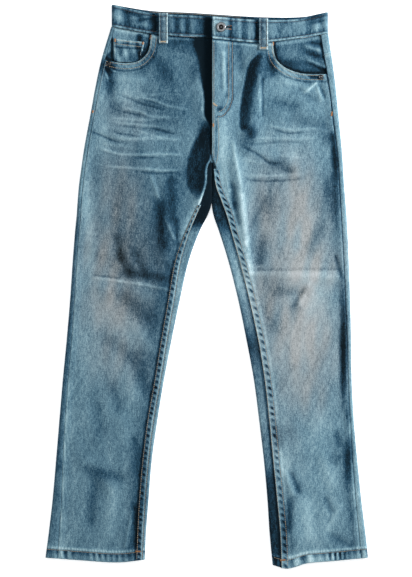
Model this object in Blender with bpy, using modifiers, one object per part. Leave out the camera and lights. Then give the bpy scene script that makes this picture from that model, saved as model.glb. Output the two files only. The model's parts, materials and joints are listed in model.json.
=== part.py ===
"""Skinny jeans lying flat on their back, front up, waist towards +Y.

Each piece is the one a maker would cut: its middle surface is laid out over the folded form of
the garment and given the thickness of its cloth. Sizes in the tables are millimetres, with X
across (the wearer's left is +X), Y up the garment and Z off the surface it lies on. Every piece
is built in metres.
"""

import math

import bmesh
import bpy
import numpy as np

MM = 0.001

# Cloth
DENIM = 1.2                # wall of one layer of denim
BAND = 2.4                 # waistband, folded double
LOOP = 1.6                 # belt loop, folded in three
TAPE = 1.0                 # zip tape
SEAM = 0.3                 # gap kept between neighbouring pieces
STACK = DENIM + SEAM       # rise from one layer to the layer lying on it
SLACK = 0.1                # more than that under the pocket mouths and in the hems

# How the garment lies
TOP_LAYER = 5.5            # middle of the front layer above the surface
ROLL = 3.0                 # reach of the rolled side folds, inwards from the edge
CENTRE_X = 8.0             # centre front and centre back
OVERALL_SHIFT = (-0.3, 0.1)  # puts the middle of the outline on the origin

# Rise and crotch
CROTCH_Y = 181.0           # where the four seams of the crotch meet
UNDER_RISE_Y = 206.0       # above this the backs stay wholly underneath
WRAPPED_Y = 172.0          # below this each back wraps up to its inseam
CROTCH_START = 0.6         # reach of the fold at each inner edge where it begins
CROTCH_REACH = 2.2         # and where the back has come up to the crotch
CROTCH_STRIP = 2.2         # least width of a back showing between the fold and the inseam
CROTCH_SPACING = 2.4       # of the columns that wrap up at the crotch

# Waistband
FLY_EDGE_X = 8.6           # edge of the overlapping front and of its waistband end
UNDERLAP_X = 33.0          # how far the other waistband end runs underneath

# Rows of panels: full-width rows start clear of the pocket mouths and end above the hems
ROW_COLUMNS = ("from_y", "to_y", "rows")
ROWS = ((290.0, 214.0, 4), (214.0, 150.0, 8), (150.0, -388.0, 21))
TOP_ROWS, LOW_ROWS = 5, 2
HEM_DEPTH = 13.0
CELL = 26.0                # reach of the lift round what lies under the lower layer

# Sections of each leg, from the waist to the hem. outer and inner are the two folded edges of
# the flattened tube, outseam and inseam the seams on its upper side. Above the crotch the
# column inseam is the centre front edge of the panel, and inner is the centre back seam.
SECTION_COLUMNS = ("y", "outer", "outseam", "inseam", "inner")
RIGHT_SECTIONS = (
    (395.0, -141.0, -136.0, 12.0, 7.7),
    (380.0, -145.5, -140.0, 12.0, 7.7),
    (340.0, -157.5, -152.0, 12.0, 7.7),
    (295.0, -167.2, -161.8, 12.0, 7.7),
    (264.0, -172.8, -167.3, 12.0, 7.7),
    (240.0, -177.3, -171.8, 8.0, 7.7),
    (215.0, -182.0, -176.5, 8.0, 7.7),
    (192.0, -185.7, -180.2, 7.6, 7.7),
    (181.0, -187.2, -181.7, 2.2, 7.5),
    (152.0, -191.1, -185.5, -0.8, 7.0),
    (124.0, -193.5, -187.9, -9.8, 6.3),
    (107.0, -194.6, -188.9, -17.5, 1.8),
    (85.0, -196.8, -190.9, -27.0, -9.2),
    (40.0, -200.4, -194.4, -42.0, -25.5),
    (-20.0, -204.5, -198.0, -52.5, -39.0),
    (-80.0, -209.6, -202.5, -63.0, -51.3),
    (-140.0, -215.4, -207.8, -72.8, -62.8),
    (-200.0, -220.5, -212.2, -83.3, -72.8),
    (-260.0, -225.5, -215.5, -90.9, -81.5),
    (-320.0, -230.8, -217.5, -96.0, -86.6),
    (-370.0, -236.6, -220.9, -98.7, -90.6),
    (-415.0, -242.6, -223.5, -100.5, -92.4),
)
LEFT_SECTIONS = (
    (395.0, 181.0, 168.0, 8.6, 8.3),
    (380.0, 182.3, 169.8, 8.6, 8.3),
    (340.0, 188.3, 176.3, 8.6, 8.3),
    (295.0, 194.0, 184.2, 8.6, 8.3),
    (250.0, 198.4, 189.8, 8.6, 8.3),
    (215.0, 202.0, 194.5, 8.7, 8.3),
    (192.0, 203.8, 196.9, 9.0, 8.3),
    (181.0, 204.6, 197.9, 13.6, 8.4),
    (152.0, 206.3, 199.2, 17.8, 8.6),
    (124.0, 208.5, 200.8, 28.5, 8.9),
    (107.0, 209.9, 201.8, 34.8, 10.4),
    (85.0, 211.2, 203.0, 41.0, 17.7),
    (40.0, 213.2, 205.5, 53.8, 31.5),
    (-20.0, 215.3, 208.2, 69.0, 46.5),
    (-80.0, 216.8, 210.8, 82.2, 58.8),
    (-140.0, 217.6, 212.0, 92.0, 70.0),
    (-200.0, 220.8, 215.0, 98.8, 78.0),
    (-260.0, 226.0, 218.9, 104.6, 85.4),
    (-320.0, 232.0, 223.2, 110.7, 91.0),
    (-370.0, 238.2, 228.0, 115.2, 94.4),
    (-425.0, 244.0, 233.5, 117.5, 99.8),
)

# Seam of the waistband and its two top edges, as heights (y) along x
BAND_SEAM_RIGHT = ((-146.0, 390.0), (-71.0, 377.5), (8.0, 373.5), (40.0, 373.5))
BAND_SEAM_LEFT = ((8.0, 371.0), (41.0, 368.0), (76.0, 365.5), (149.0, 373.5), (186.0, 380.0))
BAND_SEAM_BACK = ((-146.0, 390.0), (-71.0, 378.5), (8.0, 373.0), (76.0, 369.0), (149.0, 374.0),
                  (186.0, 380.0))
BAND_TOP_FRONT = ((-146.0, 423.0), (-85.0, 409.5), (-25.0, 405.5), (8.0, 403.5), (43.0, 401.0),
                  (85.0, 399.0), (140.0, 400.5), (160.0, 404.5), (186.0, 412.0))
BAND_TOP_BACK = ((-146.0, 423.5), (-85.0, 413.2), (-25.0, 410.2), (43.0, 405.7), (85.0, 403.5),
                 (148.0, 404.5), (165.0, 408.0), (186.0, 412.5))
BAND_ENDS = (-142.0, 182.0)

# Pocket mouths, from the outseam to the waistband, as corner points x, y
MOUTH_RIGHT = ((-152.2, 339.5), (-139.0, 336.5), (-121.0, 334.3), (-103.5, 337.0),
               (-91.5, 346.0), (-85.5, 358.0), (-82.5, 378.6))
MOUTH_LEFT = ((180.6, 318.0), (156.0, 318.0), (143.0, 319.0), (127.0, 323.3), (113.0, 331.0),
              (104.5, 340.0), (101.0, 351.0), (99.2, 366.6))

# Hems: y at shares of the width from the outseam fold to the inseam fold
HEM_RIGHT = ((0.0, -406.0), (0.35, -410.0), (0.75, -413.2), (1.0, -409.0))
HEM_LEFT = ((0.0, -406.0), (0.4, -411.6), (0.65, -415.0), (0.85, -422.6), (1.0, -417.0))

# The largest folds of the front layer: a crest (or hollow) from one end to the other
FOLD_COLUMNS = ("x0", "y0", "x1", "y1", "height", "half_width")
FOLDS = (
    (76.0, 334.0, 66.0, 236.0, 4.5, 13.0),      # beside the fly
    (46.0, 340.0, 54.0, 262.0, -1.2, 12.0),     # hollow between it and the fly
    (-32.0, 340.0, -20.0, 262.0, -1.0, 12.0),   # hollow on the other side of the fly
    (2.0, 224.0, -9.0, 132.0, 4.0, 12.0),       # inner thigh, by the crotch
    (44.0, 182.0, 63.0, 28.0, 3.6, 11.0),       # along the other inseam
    (70.0, 200.0, 140.0, 178.0, 2.2, 12.0),     # from the crotch across the hip
    (-56.0, 136.0, -62.0, 42.0, 3.0, 14.0),     # inner thigh
    (-160.0, 56.0, -62.0, 8.0, 2.2, 13.0),      # above the knee
    (-172.0, 238.0, -90.0, 214.0, 1.8, 13.0),   # across the hip from the side
    (-150.0, -8.0, -70.0, -16.0, 2.0, 12.0),    # at the knee
    (90.0, 22.0, 196.0, 14.0, 2.0, 12.0),       # at the other knee
    (128.0, -300.0, 132.0, -372.0, 2.4, 14.0),  # up from the hem
    (-176.0, -268.0, -148.0, -290.0, 2.0, 14.0),
)
FLY_RISE = 7.0             # how far the fly edge stands proud of the front under it
FLY_RISE_REACH = 30.0
EDGE_RISE = 1.6            # the rolled side folds stand a little higher than the middle
EDGE_RISE_REACH = 11.0

# Back pieces
YOKE_CENTRE_Y = 312.0
YOKE_SIDE_Y = 349.0
BACK_POCKET_WIDTH = 106.0
BACK_POCKET_DEPTH = 122.0
BACK_POCKET_POINT = 16.0   # how far its lower corners stop short of the point
BACK_POCKET_TOP_Y = 298.0
BACK_POCKET_X = (-84.0, 100.0)

# Belt loops: centre x, upper end, lower end
LOOP_WIDTH = 13.0
FRONT_LOOPS = (("right_front", -64.5, 409.0, 364.0), ("left_front", 85.5, 401.0, 354.5))
BACK_LOOPS = (("right_back", -76.0, 411.0, 366.0), ("centre_back", 8.0, 406.5, 359.0),
              ("left_back", 92.0, 402.5, 357.5))

# Coin pocket corners: upper outer, upper inner, lower inner, lower outer
COIN_POCKET = ((-139.0, 371.0), (-93.0, 366.0), (-98.0, 342.5), (-138.0, 338.5))

# Metal
BUTTON_AT = (21.8, 387.5)
BUTTON_RADIUS = 7.3
BUTTON_HEIGHT = 3.4        # of its head
SHANK_RADIUS = 1.5
BUTTONHOLE = (18.0, 4.4)   # length and width
RIVET_AT = (("rivet_left_pocket", 171.5, 314.0), ("rivet_right_pocket", -147.0, 333.0))
RIVET_RADIUS = 3.6
RIVET_HEIGHT = 1.5


def steps(first, last, count):
    return [first + (last - first) * i / count for i in range(count + 1)]


def blend(first, last, share):
    return first + (last - first) * share


def ease(share):
    share = min(max(share, 0.0), 1.0)
    return share * share * (3.0 - 2.0 * share)


class Line:
    """A smooth line through a few points of a table, with the value at any place on it."""

    def __init__(self, places, values):
        order = np.argsort(places)
        self.places = np.array(places, float)[order]
        self.values = np.array(values, float)[order]
        rises = np.diff(self.values) / np.diff(self.places)
        self.slopes = np.concatenate(([rises[0]], (rises[1:] + rises[:-1]) / 2, [rises[-1]]))

    def __call__(self, place):
        place = min(max(place, self.places[0]), self.places[-1])
        i = min(int(np.searchsorted(self.places, place, "right")) - 1, len(self.places) - 2)
        width = self.places[i + 1] - self.places[i]
        t = (place - self.places[i]) / width
        return float((2 * t**3 - 3 * t**2 + 1) * self.values[i]
                     + (t**3 - 2 * t**2 + t) * width * self.slopes[i]
                     + (3 * t**2 - 2 * t**3) * self.values[i + 1]
                     + (t**3 - t**2) * width * self.slopes[i + 1])


def line_of(points):
    return Line([p[0] for p in points], [p[1] for p in points])


class Leg:
    """One side of the garment: its outline, seams and hem."""

    def __init__(self, name, side, sections, hem, mouth, band_seam):
        self.name = name
        self.side = side  # -1 or 1, the sign of x at its outer edge
        levels = [row[0] for row in sections]
        for at, column in enumerate(SECTION_COLUMNS[1:], start=1):
            setattr(self, column, Line(levels, [row[at] for row in sections]))
        self.hem = line_of(hem)
        self.mouth = mouth
        self.band_seam = line_of(band_seam)

    def outer_middle(self, y):
        return self.outer(y) - self.side * DENIM / 2

    def inner_middle(self, y):
        return self.inner(y) + self.side * DENIM / 2

    def hem_at(self, x, y=-400.0):
        across = (x - self.outer(y)) / (self.inner(y) - self.outer(y))
        return self.hem(min(max(across, 0.0), 1.0))


RIGHT = Leg("right", -1, RIGHT_SECTIONS, HEM_RIGHT, MOUTH_RIGHT, BAND_SEAM_RIGHT)
LEFT = Leg("left", 1, LEFT_SECTIONS, HEM_LEFT, MOUTH_LEFT, BAND_SEAM_LEFT)
LEGS = (RIGHT, LEFT)
BACK_SEAM = line_of(BAND_SEAM_BACK)


def fold_heights(x, y):
    height = 0.0
    for row in FOLDS:
        fold = dict(zip(FOLD_COLUMNS, row))
        along = np.array((fold["x1"] - fold["x0"], fold["y1"] - fold["y0"]))
        length = float(np.hypot(*along))
        offset = np.array((x - fold["x0"], y - fold["y0"]))
        share = float(offset @ along) / length**2
        away = abs(float(along[0] * offset[1] - along[1] * offset[0])) / length
        past_end = max(-share, share - 1.0, 0.0) * length
        across = math.exp(-(away / fold["half_width"]) ** 2)
        lengthwise = math.exp(-(past_end / (1.3 * fold["half_width"])) ** 2)
        height += fold["height"] * across * lengthwise
    return height


def fly_rise(x, y):
    lengthwise = ease((y - CROTCH_Y) / 60.0)
    return FLY_RISE * lengthwise * math.exp(-((x - FLY_EDGE_X) / FLY_RISE_REACH) ** 2)


def top_height(leg, x, y):
    """Middle of the upper layer of cloth."""
    rise = TOP_LAYER + max(fold_heights(x, y), -1.0)
    from_outer = abs(leg.outer_middle(y) - x)
    rise += EDGE_RISE * math.exp(-(from_outer / EDGE_RISE_REACH) ** 2)
    if y < WRAPPED_Y:
        from_inner = abs(x - leg.inner_middle(y))
        rise += EDGE_RISE * math.exp(-(from_inner / EDGE_RISE_REACH) ** 2)
    if leg.side > 0:
        rise += fly_rise(x, y)
    return rise


def soft_box(x, y, x0, x1, y0, y1, soft):
    inside = ease((x - x0 + soft) / soft) * ease((x1 + soft - x) / soft)
    return inside * ease((y - y0 + soft) / soft) * ease((y1 + soft - y) / soft)


def under_rise(x, y):
    """How far the lower layer is lifted by the pockets and loops that lie beneath it."""
    rise = 0.0
    for centre in BACK_POCKET_X:
        half = BACK_POCKET_WIDTH / 2 + CELL
        low = BACK_POCKET_TOP_Y - BACK_POCKET_DEPTH - CELL
        high = BACK_POCKET_TOP_Y + CELL
        inside = soft_box(x, y, centre - half, centre + half, low, high, CELL)
        rise = max(rise, STACK * inside)
    for _, centre, upper, lower in BACK_LOOPS:
        half = LOOP_WIDTH / 2 + CELL
        inside = soft_box(x, y, centre - half, centre + half, lower - CELL, upper + CELL, CELL)
        rise = max(rise, (LOOP + SEAM) * inside)
    return rise


def material(name, colour, roughness, metallic=0.0):
    made = bpy.data.materials.new(name)
    made.use_nodes = True
    shader = made.node_tree.nodes["Principled BSDF"]
    shader.inputs["Base Color"].default_value = (*colour, 1.0)
    shader.inputs["Roughness"].default_value = roughness
    shader.inputs["Metallic"].default_value = metallic
    return made


def grid_object(name, place, across, along, thickness, finish, collection):
    """A sheet of cloth: a grid laid out by place(i, j) in millimetres, made thick by Solidify."""
    mesh = bpy.data.meshes.new(name)
    bm = bmesh.new()
    bmesh.ops.create_grid(bm, x_segments=across, y_segments=along, size=0.5)
    for vert in bm.verts:
        i = round((vert.co.x + 0.5) * across)
        j = round((vert.co.y + 0.5) * along)
        x, y, z = place(i, j)
        vert.co = ((x + OVERALL_SHIFT[0]) * MM, (y + OVERALL_SHIFT[1]) * MM, z * MM)
    bmesh.ops.recalc_face_normals(bm, faces=bm.faces)
    bm.to_mesh(mesh)
    bm.free()
    mesh.materials.append(finish)
    mesh.shade_smooth()
    sheet = bpy.data.objects.new(name, mesh)
    collection.objects.link(sheet)
    wall = sheet.modifiers.new("Cloth thickness", "SOLIDIFY")
    wall.thickness = thickness * MM
    wall.offset = 0.0
    return sheet


def row_levels():
    """Heights of the full-width rows, close together at the crotch."""
    levels = [ROWS[0][0]]
    for from_y, to_y, rows in ROWS:
        levels += steps(from_y, to_y, rows)[1:]
    return levels


def front_columns(leg):
    """Upper edge of a front panel as points x, y: along the pocket mouth, then the waistband."""
    points = list(leg.mouth)
    seam_x = leg.inseam(370.0)
    for x in steps(leg.mouth[-1][0], seam_x, 7)[1:]:
        points.append((x, leg.band_seam(x) - SEAM))
    return points


def front_panel(leg, finish, collection):
    edge = front_columns(leg)
    columns = len(edge) - 1
    levels = row_levels()
    full_rows = len(levels) - 1
    shares = [(x - leg.outseam(y)) / (leg.inseam(y) - leg.outseam(y)) for x, y in edge]
    shares[0] = 0.0
    even = steps(0.0, 1.0, columns)

    def place(i, j):
        share = even[i]
        if j < TOP_ROWS:
            down = j / TOP_ROWS
            y = blend(edge[i][1], levels[0], down)
            share = blend(shares[i], even[i], down)
        elif j <= TOP_ROWS + full_rows:
            y = levels[j - TOP_ROWS]
        else:
            down = (j - TOP_ROWS - full_rows) / LOW_ROWS
            x = blend(leg.outseam(levels[-1]), leg.inseam(levels[-1]), share)
            y = blend(levels[-1], leg.hem_at(x), down)
        x = blend(leg.outseam(y), leg.inseam(y), share)
        return x, y, top_height(leg, x, y)

    rows = TOP_ROWS + full_rows + LOW_ROWS
    return grid_object(f"front_{leg.name}", place, columns, rows, DENIM, finish, collection)


def arc_point(leg, edge, reach, y, share):
    """Round a side fold, from the lower layer (share 0) to the upper (share 1)."""
    outwards = math.copysign(1.0, edge - (leg.outer(y) + leg.inner(y)) / 2)
    foot = edge - outwards * reach
    low = DENIM / 2 + under_rise(foot, y)
    high = top_height(leg, foot, y)
    angle = math.pi * share
    x = foot + outwards * reach * math.sin(angle)
    z = (low + high) / 2 - (high - low) / 2 * math.cos(angle)
    return x, z


INNER_STRIP, INNER_ARC, UNDERSIDE, OUTER_ARC, OUTER_STRIP = 1, 4, 8, 4, 1
BACK_COLUMNS = INNER_STRIP + INNER_ARC + UNDERSIDE + OUTER_ARC + OUTER_STRIP


def wrap_share(y):
    """0 where a back lies wholly underneath, 1 where it wraps up to its inseam."""
    return ease((UNDER_RISE_Y - y) / (UNDER_RISE_Y - WRAPPED_Y))


def inner_turn(leg, y, column):
    """Columns of a back that slide round the inner edge, between the seat seam and the inseam."""
    side = leg.side
    share = wrap_share(y)
    reach = blend(CROTCH_START, CROTCH_REACH, share)
    reach = blend(reach, ROLL, ease((WRAPPED_Y - y) / 40.0))
    edge = leg.inner_middle(y)
    foot = edge + side * reach
    half_rise = (top_height(leg, foot, y) - DENIM / 2) / 2
    arc = math.pi * (reach + half_rise) / 2
    strip = max(side * (leg.inseam(y) - foot) - SEAM, CROTCH_STRIP)
    wrapped = arc * (1.0 - (column - INNER_STRIP) / INNER_ARC)
    if column < INNER_STRIP:
        wrapped = arc + strip * (1.0 - column / INNER_STRIP)
    beneath = CROTCH_START - CROTCH_SPACING * column
    along = blend(beneath, wrapped, share)
    if along <= 0.0 or share == 0.0:
        x = foot - side * along
        return x, DENIM / 2 + under_rise(x, y)
    if along < arc:
        return arc_point(leg, edge, reach, y, along / arc)
    x = foot + side * (along - arc)
    return x, top_height(leg, x, y)


def back_section(leg, y, column):
    """x and z of a back panel's section at height y, from its inseam round to its outseam."""
    side = leg.side
    outer_foot = leg.outer_middle(y) - side * ROLL
    turned = INNER_STRIP + INNER_ARC
    if column <= turned:
        return inner_turn(leg, y, column)
    if column <= turned + UNDERSIDE:
        x = blend(inner_turn(leg, y, turned)[0], outer_foot, (column - turned) / UNDERSIDE)
        return x, DENIM / 2 + under_rise(x, y)
    if column <= turned + UNDERSIDE + OUTER_ARC:
        share = (column - turned - UNDERSIDE) / OUTER_ARC
        return arc_point(leg, leg.outer_middle(y), ROLL, y, share)
    share = (column - turned - UNDERSIDE - OUTER_ARC) / OUTER_STRIP
    x = blend(outer_foot, leg.outseam(y) + side * SEAM, share)
    return x, top_height(leg, x, y)


def yoke_line(leg, x):
    reach = abs(leg.outer(YOKE_SIDE_Y) - CENTRE_X)
    share = min(abs(x - CENTRE_X) / reach, 1.0)
    return blend(YOKE_CENTRE_Y, YOKE_SIDE_Y, share)


def back_panel(leg, finish, collection):
    levels = row_levels()
    full_rows = len(levels) - 1
    top_rows = 4

    def place(i, j):
        if j < top_rows:
            x, _ = back_section(leg, YOKE_SIDE_Y, i)
            y = blend(yoke_line(leg, x) - SEAM, levels[0], j / top_rows)
        elif j <= top_rows + full_rows:
            y = levels[j - top_rows]
        else:
            x, _ = back_section(leg, levels[-1], i)
            y = blend(levels[-1], leg.hem_at(x), (j - top_rows - full_rows) / LOW_ROWS)
        x, z = back_section(leg, y, i)
        return x, y, z

    rows = top_rows + full_rows + LOW_ROWS
    return grid_object(f"back_{leg.name}", place, BACK_COLUMNS, rows, DENIM, finish, collection)


def yoke(leg, finish, collection):
    rows = 4
    on_top = INNER_STRIP + INNER_ARC + UNDERSIDE + OUTER_ARC / 2

    def place(i, j):
        x, _ = back_section(leg, YOKE_SIDE_Y, i)
        lower = yoke_line(leg, x)
        upper = lower
        for _ in range(4):
            x, _ = back_section(leg, upper, i)
            upper = (leg.band_seam(x) if i > on_top else BACK_SEAM(x)) - 2 * SEAM
        y = blend(upper, lower, j / rows)
        x, z = back_section(leg, y, i)
        return x, y, z

    return grid_object(f"yoke_{leg.name}", place, BACK_COLUMNS, rows, DENIM, finish, collection)


def pocket_facing(leg, finish, collection):
    """The denim seen inside a front pocket's mouth, running on under the front panel."""
    under = 10.0
    across, rows = 9, 4
    mouth = leg.mouth[0][0], leg.mouth[-1][0]
    sharp = sorted(leg.mouth[:-1])
    mouth_line = line_of(sharp)
    inner_x = mouth[1] - leg.side * under

    def place(i, j):
        share = i / across
        at = blend(mouth[0], inner_x, share)
        low = mouth_line(at) - under
        upper = leg.band_seam(blend(leg.outseam(372.0), inner_x, share)) - SEAM
        y = blend(upper, low, j / rows)
        x = blend(leg.outseam(y), inner_x, share)
        return x, y, top_height(leg, x, y) - STACK - SLACK

    name = f"pocket_facing_{leg.name}"
    return grid_object(name, place, across, rows, DENIM, finish, collection)


def coin_pocket(finish, collection):
    across, rows = 7, 4
    upper_outer, upper_inner, lower_inner, lower_outer = COIN_POCKET
    mouth_line = line_of(sorted(RIGHT.mouth[:-1]))

    def place(i, j):
        share = i / across
        low_x = blend(lower_outer[0], lower_inner[0], share)
        low_y = mouth_line(low_x) + DENIM / 2 + 3 * SEAM
        x = blend(blend(upper_outer[0], upper_inner[0], share), low_x, j / rows)
        y = blend(blend(upper_outer[1], upper_inner[1], share), low_y, j / rows)
        return x, y, top_height(RIGHT, x, y) - SLACK

    return grid_object("coin_pocket", place, across, rows, DENIM, finish, collection)


def back_pocket(leg, centre, finish, collection):
    across, rows = 8, 4
    half = BACK_POCKET_WIDTH / 2

    def place(i, j):
        x = blend(-half, half, i / across)
        point = BACK_POCKET_POINT * (1.0 - abs(x) / half)
        low = BACK_POCKET_TOP_Y - BACK_POCKET_DEPTH + BACK_POCKET_POINT - point
        narrowing = 1.0 - 0.08 * j / rows
        return (centre + x * narrowing, blend(BACK_POCKET_TOP_Y, low, j / rows), DENIM / 2)

    name = f"back_pocket_{leg.name}"
    return grid_object(name, place, across, rows, DENIM, finish, collection)


def hem_facing(leg, finish, collection):
    """The turned-up cloth inside a leg's end: a flattened ring, closed all round."""
    shift = STACK + SLACK
    flat_columns, arc_columns, rows = 8, 5, 2
    around = 2 * (flat_columns + arc_columns)

    def section(y, column):
        side = leg.side
        outer = leg.outer_middle(y) - side * shift
        inner = leg.inner_middle(y) + side * shift
        reach = ROLL - 1.4
        outer_foot, inner_foot = outer - side * reach, inner + side * reach
        if column < flat_columns:
            x = blend(inner_foot, outer_foot, column / flat_columns)
            return x, DENIM / 2 + shift
        column -= flat_columns
        if column < arc_columns:
            angle = math.pi * column / arc_columns
            low, high = DENIM / 2 + shift, top_height(leg, outer_foot, y) - shift
            x = outer_foot + side * reach * math.sin(angle)
            return x, (low + high) / 2 - (high - low) / 2 * math.cos(angle)
        column -= arc_columns
        if column < flat_columns:
            x = blend(outer_foot, inner_foot, column / flat_columns)
            return x, top_height(leg, x, y) - shift
        column -= flat_columns
        angle = math.pi * column / arc_columns
        low, high = DENIM / 2 + shift, top_height(leg, inner_foot, y) - shift
        x = inner_foot - side * reach * math.sin(angle)
        return x, (low + high) / 2 + (high - low) / 2 * math.cos(angle)

    mesh = bpy.data.meshes.new(f"hem_{leg.name}")
    bm = bmesh.new()
    rings = []
    for j in range(rows + 1):
        ring = []
        for i in range(around):
            guess, _ = section(-400.0, i)
            y = leg.hem_at(guess) + HEM_DEPTH * j / rows
            x, z = section(y, i)
            ring.append(bm.verts.new(((x + OVERALL_SHIFT[0]) * MM,
                                      (y + OVERALL_SHIFT[1]) * MM, z * MM)))
        rings.append(ring)
    for lower, upper in zip(rings, rings[1:]):
        for i in range(around):
            k = (i + 1) % around
            bm.faces.new((lower[i], lower[k], upper[k], upper[i]))
    bmesh.ops.recalc_face_normals(bm, faces=bm.faces)
    bm.to_mesh(mesh)
    bm.free()
    mesh.materials.append(finish)
    ring_object = bpy.data.objects.new(f"hem_{leg.name}", mesh)
    collection.objects.link(ring_object)
    wall = ring_object.modifiers.new("Cloth thickness", "SOLIDIFY")
    wall.thickness = DENIM * MM
    wall.offset = 0.0
    return ring_object


def waistband(finish, collection):
    """One strip: from the buttonhole end round the left side, the back and the right side."""
    seam_front = {-1: RIGHT.band_seam, 1: LEFT.band_seam}
    top_front, top_back = line_of(BAND_TOP_FRONT), line_of(BAND_TOP_BACK)
    left_end, right_end = BAND_ENDS[1] - BAND / 2, BAND_ENDS[0] + BAND / 2
    reach = 3.4
    left_foot, right_foot = left_end - reach, right_end + reach
    stations = []
    for x in steps(FLY_EDGE_X, left_foot, 14):
        stations.append(("front", 1, x, 0.0))
    for i in range(1, 6):
        stations.append(("turn", 1, left_foot, math.pi * i / 6))
    for x in steps(left_foot, right_foot, 20):
        stations.append(("back", 0, x, 0.0))
    for i in range(1, 6):
        stations.append(("turn", -1, right_foot, math.pi * i / 6))
    for x in steps(right_foot, UNDERLAP_X, 15):
        stations.append(("front", -1, x, 0.0))
    rows = 3

    def outer_height(side, x):
        leg = RIGHT if side < 0 else LEFT
        return top_height(leg, x, seam_front[side](x)) + (BAND - DENIM) / 2

    def place(i, j):
        kind, side, x, angle = stations[i]
        low_back = BAND / 2 + under_rise(x, 390.0)
        if kind == "back":
            y = blend(BACK_SEAM(x), top_back(x), j / rows)
            return x, y, BAND / 2 + under_rise(x, y)
        low = seam_front[side](x)
        if kind == "front":
            return x, blend(low, top_front(x), j / rows), outer_height(side, x)
        high = outer_height(side, x)
        turn = angle if side > 0 else math.pi - angle
        z = (low_back + high) / 2 + (high - low_back) / 2 * math.cos(turn)
        share = (1.0 - math.cos(turn)) / 2
        x += side * reach * math.sin(turn)
        y_front = blend(seam_front[side](x), top_front(x), j / rows)
        y_back = blend(BACK_SEAM(x), top_back(x), j / rows)
        return x, blend(y_front, y_back, share), z

    return grid_object("waistband", place, len(stations) - 1, rows, BAND, finish, collection)


def fly_pieces(denim, tape, collection):
    """The underlap behind the fly and the closed zip on it, both covered by the fly."""
    upper, lower = 366.0, 242.0

    def shield(i, j):
        x = blend(2.0, 40.0, i / 4)
        y = blend(upper, lower - 4.0, j / 8)
        return x, y, TOP_LAYER - STACK

    def zip_strip(i, j):
        x = blend(15.5, 34.0, i / 6)
        y = blend(upper - 2.0, lower, j / 8)
        chain = 0.5 if 2 <= i <= 4 else 0.0
        return x, y, TOP_LAYER + SLACK + chain

    grid_object("fly_shield", shield, 4, 8, DENIM, denim, collection)
    grid_object("zip", zip_strip, 6, 8, TAPE, tape, collection)


def front_loop(name, centre, upper, lower, finish, collection):
    """A loop pressed flat over the waistband and sewn down above and below it."""
    leg = RIGHT if centre < CENTRE_X else LEFT
    rows = 10
    seam = leg.band_seam(centre)
    proud = DENIM / 2 + LOOP / 2 + 2.4 * SEAM

    def place(i, j):
        x = centre + blend(-LOOP_WIDTH / 2, LOOP_WIDTH / 2, i / 2)
        y = blend(upper, lower, j / rows)
        over_band = ease((y - seam + 5.0) / 4.0)
        base = top_height(leg, x, blend(y, leg.band_seam(x), over_band))
        return x, y, base + proud + over_band * (BAND - DENIM + 0.8)

    grid_object(f"belt_loop_{name}", place, 2, rows, LOOP, finish, collection)


def back_loop(name, centre, upper, lower, finish, collection):
    def place(i, j):
        x = centre + blend(-LOOP_WIDTH / 2, LOOP_WIDTH / 2, i / 2)
        return x, blend(upper, lower, j / 4), LOOP / 2

    grid_object(f"belt_loop_{name}", place, 2, 4, LOOP, finish, collection)


def turned_object(name, profile, at, finish, collection, sides=24):
    """A turned piece: its profile (radius, height) closed on the axis and screwed round."""
    mesh = bpy.data.meshes.new(name)
    points = [(radius * MM, 0.0, height * MM) for radius, height in profile]
    mesh.from_pydata(points, [(i, i + 1) for i in range(len(points) - 1)], [])
    mesh.materials.append(finish)
    piece = bpy.data.objects.new(name, mesh)
    piece.location = ((at[0] + OVERALL_SHIFT[0]) * MM, (at[1] + OVERALL_SHIFT[1]) * MM,
                      at[2] * MM)
    collection.objects.link(piece)
    screw = piece.modifiers.new("Turn", "SCREW")
    screw.steps = sides
    screw.render_steps = sides
    screw.use_merge_vertices = True
    screw.merge_threshold = 0.00001
    return piece


def button_levels():
    """Tops of the two ends of the waistband where the button joins them."""
    x = BUTTON_AT[0]
    under = top_height(RIGHT, x, RIGHT.band_seam(x)) + BAND - DENIM / 2
    over = top_height(LEFT, x, LEFT.band_seam(x)) + BAND - DENIM / 2
    return under, over


def cut_buttonhole(band, collection):
    """A slot through the overlapping end only, for the shank of the button."""
    under, over = button_levels()
    low, high = under + 1.0, over + 4.0
    length, width = BUTTONHOLE
    centre = (BUTTON_AT[0] + length / 2 - 2 * SHANK_RADIUS, BUTTON_AT[1], (low + high) / 2)
    bpy.ops.mesh.primitive_cube_add(size=1.0)
    cutter = bpy.context.object
    cutter.name = "Buttonhole cutter"
    cutter.scale = (length * MM, width * MM, (high - low) * MM)
    cutter.location = ((centre[0] + OVERALL_SHIFT[0]) * MM,
                       (centre[1] + OVERALL_SHIFT[1]) * MM, centre[2] * MM)
    for old in list(cutter.users_collection):
        old.objects.unlink(cutter)
    collection.objects.link(cutter)
    cutter.hide_render = True
    cutter.display_type = "WIRE"
    slot = band.modifiers.new("Buttonhole", "BOOLEAN")
    slot.operation = "DIFFERENCE"
    slot.object = cutter


def button(finish, collection):
    x, y = BUTTON_AT
    under, over = button_levels()
    foot = under + SEAM
    lift = over + SEAM + 0.5 - foot
    radius, height = BUTTON_RADIUS, BUTTON_HEIGHT
    profile = ((0.0, lift + height - 1.3), (radius * 0.42, lift + height - 1.3),
               (radius * 0.5, lift + height - 0.3), (radius * 0.75, lift + height),
               (radius * 0.95, lift + height - 0.5), (radius, lift + height - 1.5),
               (radius * 0.9, lift + height - 2.6), (radius * 0.5, lift),
               (SHANK_RADIUS, lift), (SHANK_RADIUS, 0.0), (0.0, 0.0))
    turned_object("button", profile, (x, y, foot), finish, collection)


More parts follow.
